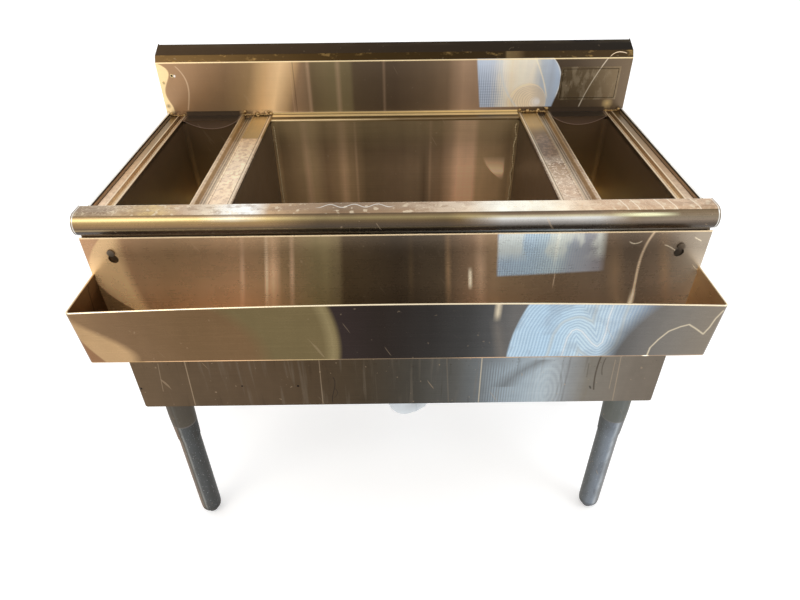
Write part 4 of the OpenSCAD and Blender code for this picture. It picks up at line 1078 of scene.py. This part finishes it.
def slab(mesh, low, high):
    """A thin block between two corners, with its front edges broken."""
    made = bmesh.ops.create_cube(mesh, size=1)
    for vert in made["verts"]:
        vert.co = Vector([a + (b - a) * (place + 0.5) for a, b, place in zip(low, high, vert.co)])
    at_front = [vert for vert in made["verts"] if abs(vert.co.y - low[1]) < 1e-6]
    front = [edge for edge in mesh.edges if all(vert in at_front for vert in edge.verts)]
    bmesh.ops.bevel(mesh, geom=front, offset=0.0002, segments=1, affect="EDGES")


def plate_tint(finish):
    """The plate's steel: greyer than the splash, with pale worn places and the same scratch."""
    tone = across(finish.x, [(0.31, 88, 73, 52), (0.37, 99, 83, 60), (0.43, 132, 112, 84)])
    worn = finish.place.stretched(1, 1, 0.4).noise(60, detail=5, roughness=0.65, seed=113)
    return tone.under(
        ((158, 142, 116), above(worn, 0.55, 0.1) * 0.4),
        ((214, 200, 176), finish.upright_line(SPLASH_SCRATCH, 0.0015) * 0.85),
    )


def splash_plate():
    """A thin bare plate with a raised border."""
    finish = steel("plate_steel", plate_tint, "x", 0.34, wear=0.6, metallic=0.4, gloss=0.3)
    border = dull("plate_border", (46, 38, 29), 0.8, speckle=0.3, gloss=0.0)
    mesh = bmesh.new()
    slab(mesh, (PLATE_X[0], SPLASH_Y - 0.0004, PLATE_Z[0]), (PLATE_X[1], SPLASH_Y + 0.0002, PLATE_Z[1]))
    piece("splash_plate", mesh, finish, "bin", smooth=False)
    left, right = PLATE_X[0] + BORDER_INSET, PLATE_X[1] - BORDER_INSET
    foot, top = PLATE_Z[0] + BORDER_INSET, PLATE_Z[1] - BORDER_INSET
    above_foot, below_top = foot + BORDER_WIDE, top - BORDER_WIDE
    mesh = bmesh.new()
    for x_low, z_low, x_high, z_high in (
        (left, foot, right, above_foot),
        (left, below_top, right, top),
        (left, above_foot, left + BORDER_WIDE, below_top),
        (right - BORDER_WIDE, above_foot, right, below_top),
    ):
        slab(mesh, (x_low, SPLASH_Y - 0.00055, z_low), (x_high, SPLASH_Y - 0.0003, z_high))
    piece("splash_plate_border", mesh, border, "bin", smooth=False)


def splash_holes():
    """Two small screw holes with raised rims, their pale colour partly a painted highlight, each hole a dark
    disc of painted shade.
    """
    rim = dull("hole_rim", (222, 198, 150), 0.28, metallic=1, speckle=0.3)
    # Each hole's inside is a dark disc of painted shade
    dark = dull("hole_shade", (14, 11, 8), 0.9)
    for word, at_x, at_z, radius in (("upper", -0.419, 0.833, 0.0026), ("lower", -0.437, 0.820, 0.0018)):
        place = Matrix.Translation((at_x, SPLASH_Y - 0.0002, at_z)) @ Matrix.Rotation(math.pi / 2, 4, "X")
        sizes = {"radius1": radius * 0.8, "radius2": radius, "depth": 0.0004}
        mesh = bmesh.new()
        bmesh.ops.create_cone(mesh, cap_ends=True, segments=32, matrix=place, **sizes)
        piece(f"{word}_hole_shade", mesh, dark, "bin")
        drops = []
        for k in range(RIM_DROPS):
            turn = 2 * math.pi * k / RIM_DROPS
            at = (at_x + radius * math.cos(turn), SPLASH_Y, at_z + radius * math.sin(turn))
            drops.append((at, 0.0007))
        piece(f"{word}_hole_rim", beads(drops), rim, "bin")


# Camera, light and floor

IMAGE_W = 800
FOCAL_PX = 596.8
CAMERA_AT = (0.0036, -0.9209, 1.1643)
CAMERA_PITCH = math.radians(36.82)
CAMERA_YAW = math.radians(0.09)
CAMERA_ROLL = math.radians(-0.65)


def make_camera():
    forward = Vector((
        math.sin(CAMERA_YAW) * math.cos(CAMERA_PITCH),
        math.cos(CAMERA_YAW) * math.cos(CAMERA_PITCH),
        -math.sin(CAMERA_PITCH),
    ))
    level = Vector((math.cos(CAMERA_YAW), -math.sin(CAMERA_YAW), 0))
    upright = level.cross(forward)
    right = level * math.cos(CAMERA_ROLL) + upright * math.sin(CAMERA_ROLL)
    up = upright * math.cos(CAMERA_ROLL) - level * math.sin(CAMERA_ROLL)
    data = bpy.data.cameras.new("camera")
    data.lens = data.sensor_width * FOCAL_PX / IMAGE_W
    camera = bpy.data.objects.new("camera", data)
    camera.matrix_world = Matrix.Translation(CAMERA_AT) @ Matrix((right, up, -forward)).transposed().to_4x4()
    bpy.context.scene.collection.objects.link(camera)
    bpy.context.scene.camera = camera


def area_light(name, at, aim, size, power, tone):
    data = bpy.data.lights.new(name, "AREA")
    data.shape = "RECTANGLE"
    data.size, data.size_y = size
    data.energy = power
    data.color = tone
    light = bpy.data.objects.new(name, data)
    light.location = at
    light.rotation_euler = (Vector(aim) - Vector(at)).to_track_quat("-Z", "Y").to_euler()
    bpy.context.scene.collection.objects.link(light)


def make_studio():
    world = bpy.data.worlds.new("studio")
    world.use_nodes = True
    background = world.node_tree.nodes["Background"]
    background.inputs["Color"].default_value = (1, 1, 1, 1)
    background.inputs["Strength"].default_value = 0.95
    bpy.context.scene.world = world
    bpy.context.scene.view_settings.view_transform = "Standard"
    area_light("key", (-1.4, -1.4, 2.6), (0, 0, 0.6), (1.2, 1.2), 14, (1.0, 0.94, 0.85))
    area_light("window", (1.6, -1.0, 2.4), (0.2, 0, 0.6), (0.8, 1.6), 10, (0.88, 0.94, 1.0))
    mesh = bmesh.new()
    bmesh.ops.create_grid(mesh, x_segments=2, y_segments=2, size=20)
    data = bpy.data.meshes.new("floor")
    mesh.to_mesh(data)
    mesh.free()
    material = bpy.data.materials.new("floor")
    material.use_nodes = True
    shader = material.node_tree.nodes["Principled BSDF"]
    shader.inputs["Base Color"].default_value = (0.94, 0.94, 0.94, 1)
    shader.inputs["Roughness"].default_value = 0.9
    shader.inputs["Emission Color"].default_value = (1, 1, 1, 1)
    shader.inputs["Emission Strength"].default_value = 0.3
    data.materials.append(material)
    floor = bpy.data.objects.new("floor", data)
    bpy.context.scene.collection.objects.link(floor)


dress()
weld_beads()
splash_plate()
splash_holes()
make_camera()
make_studio()
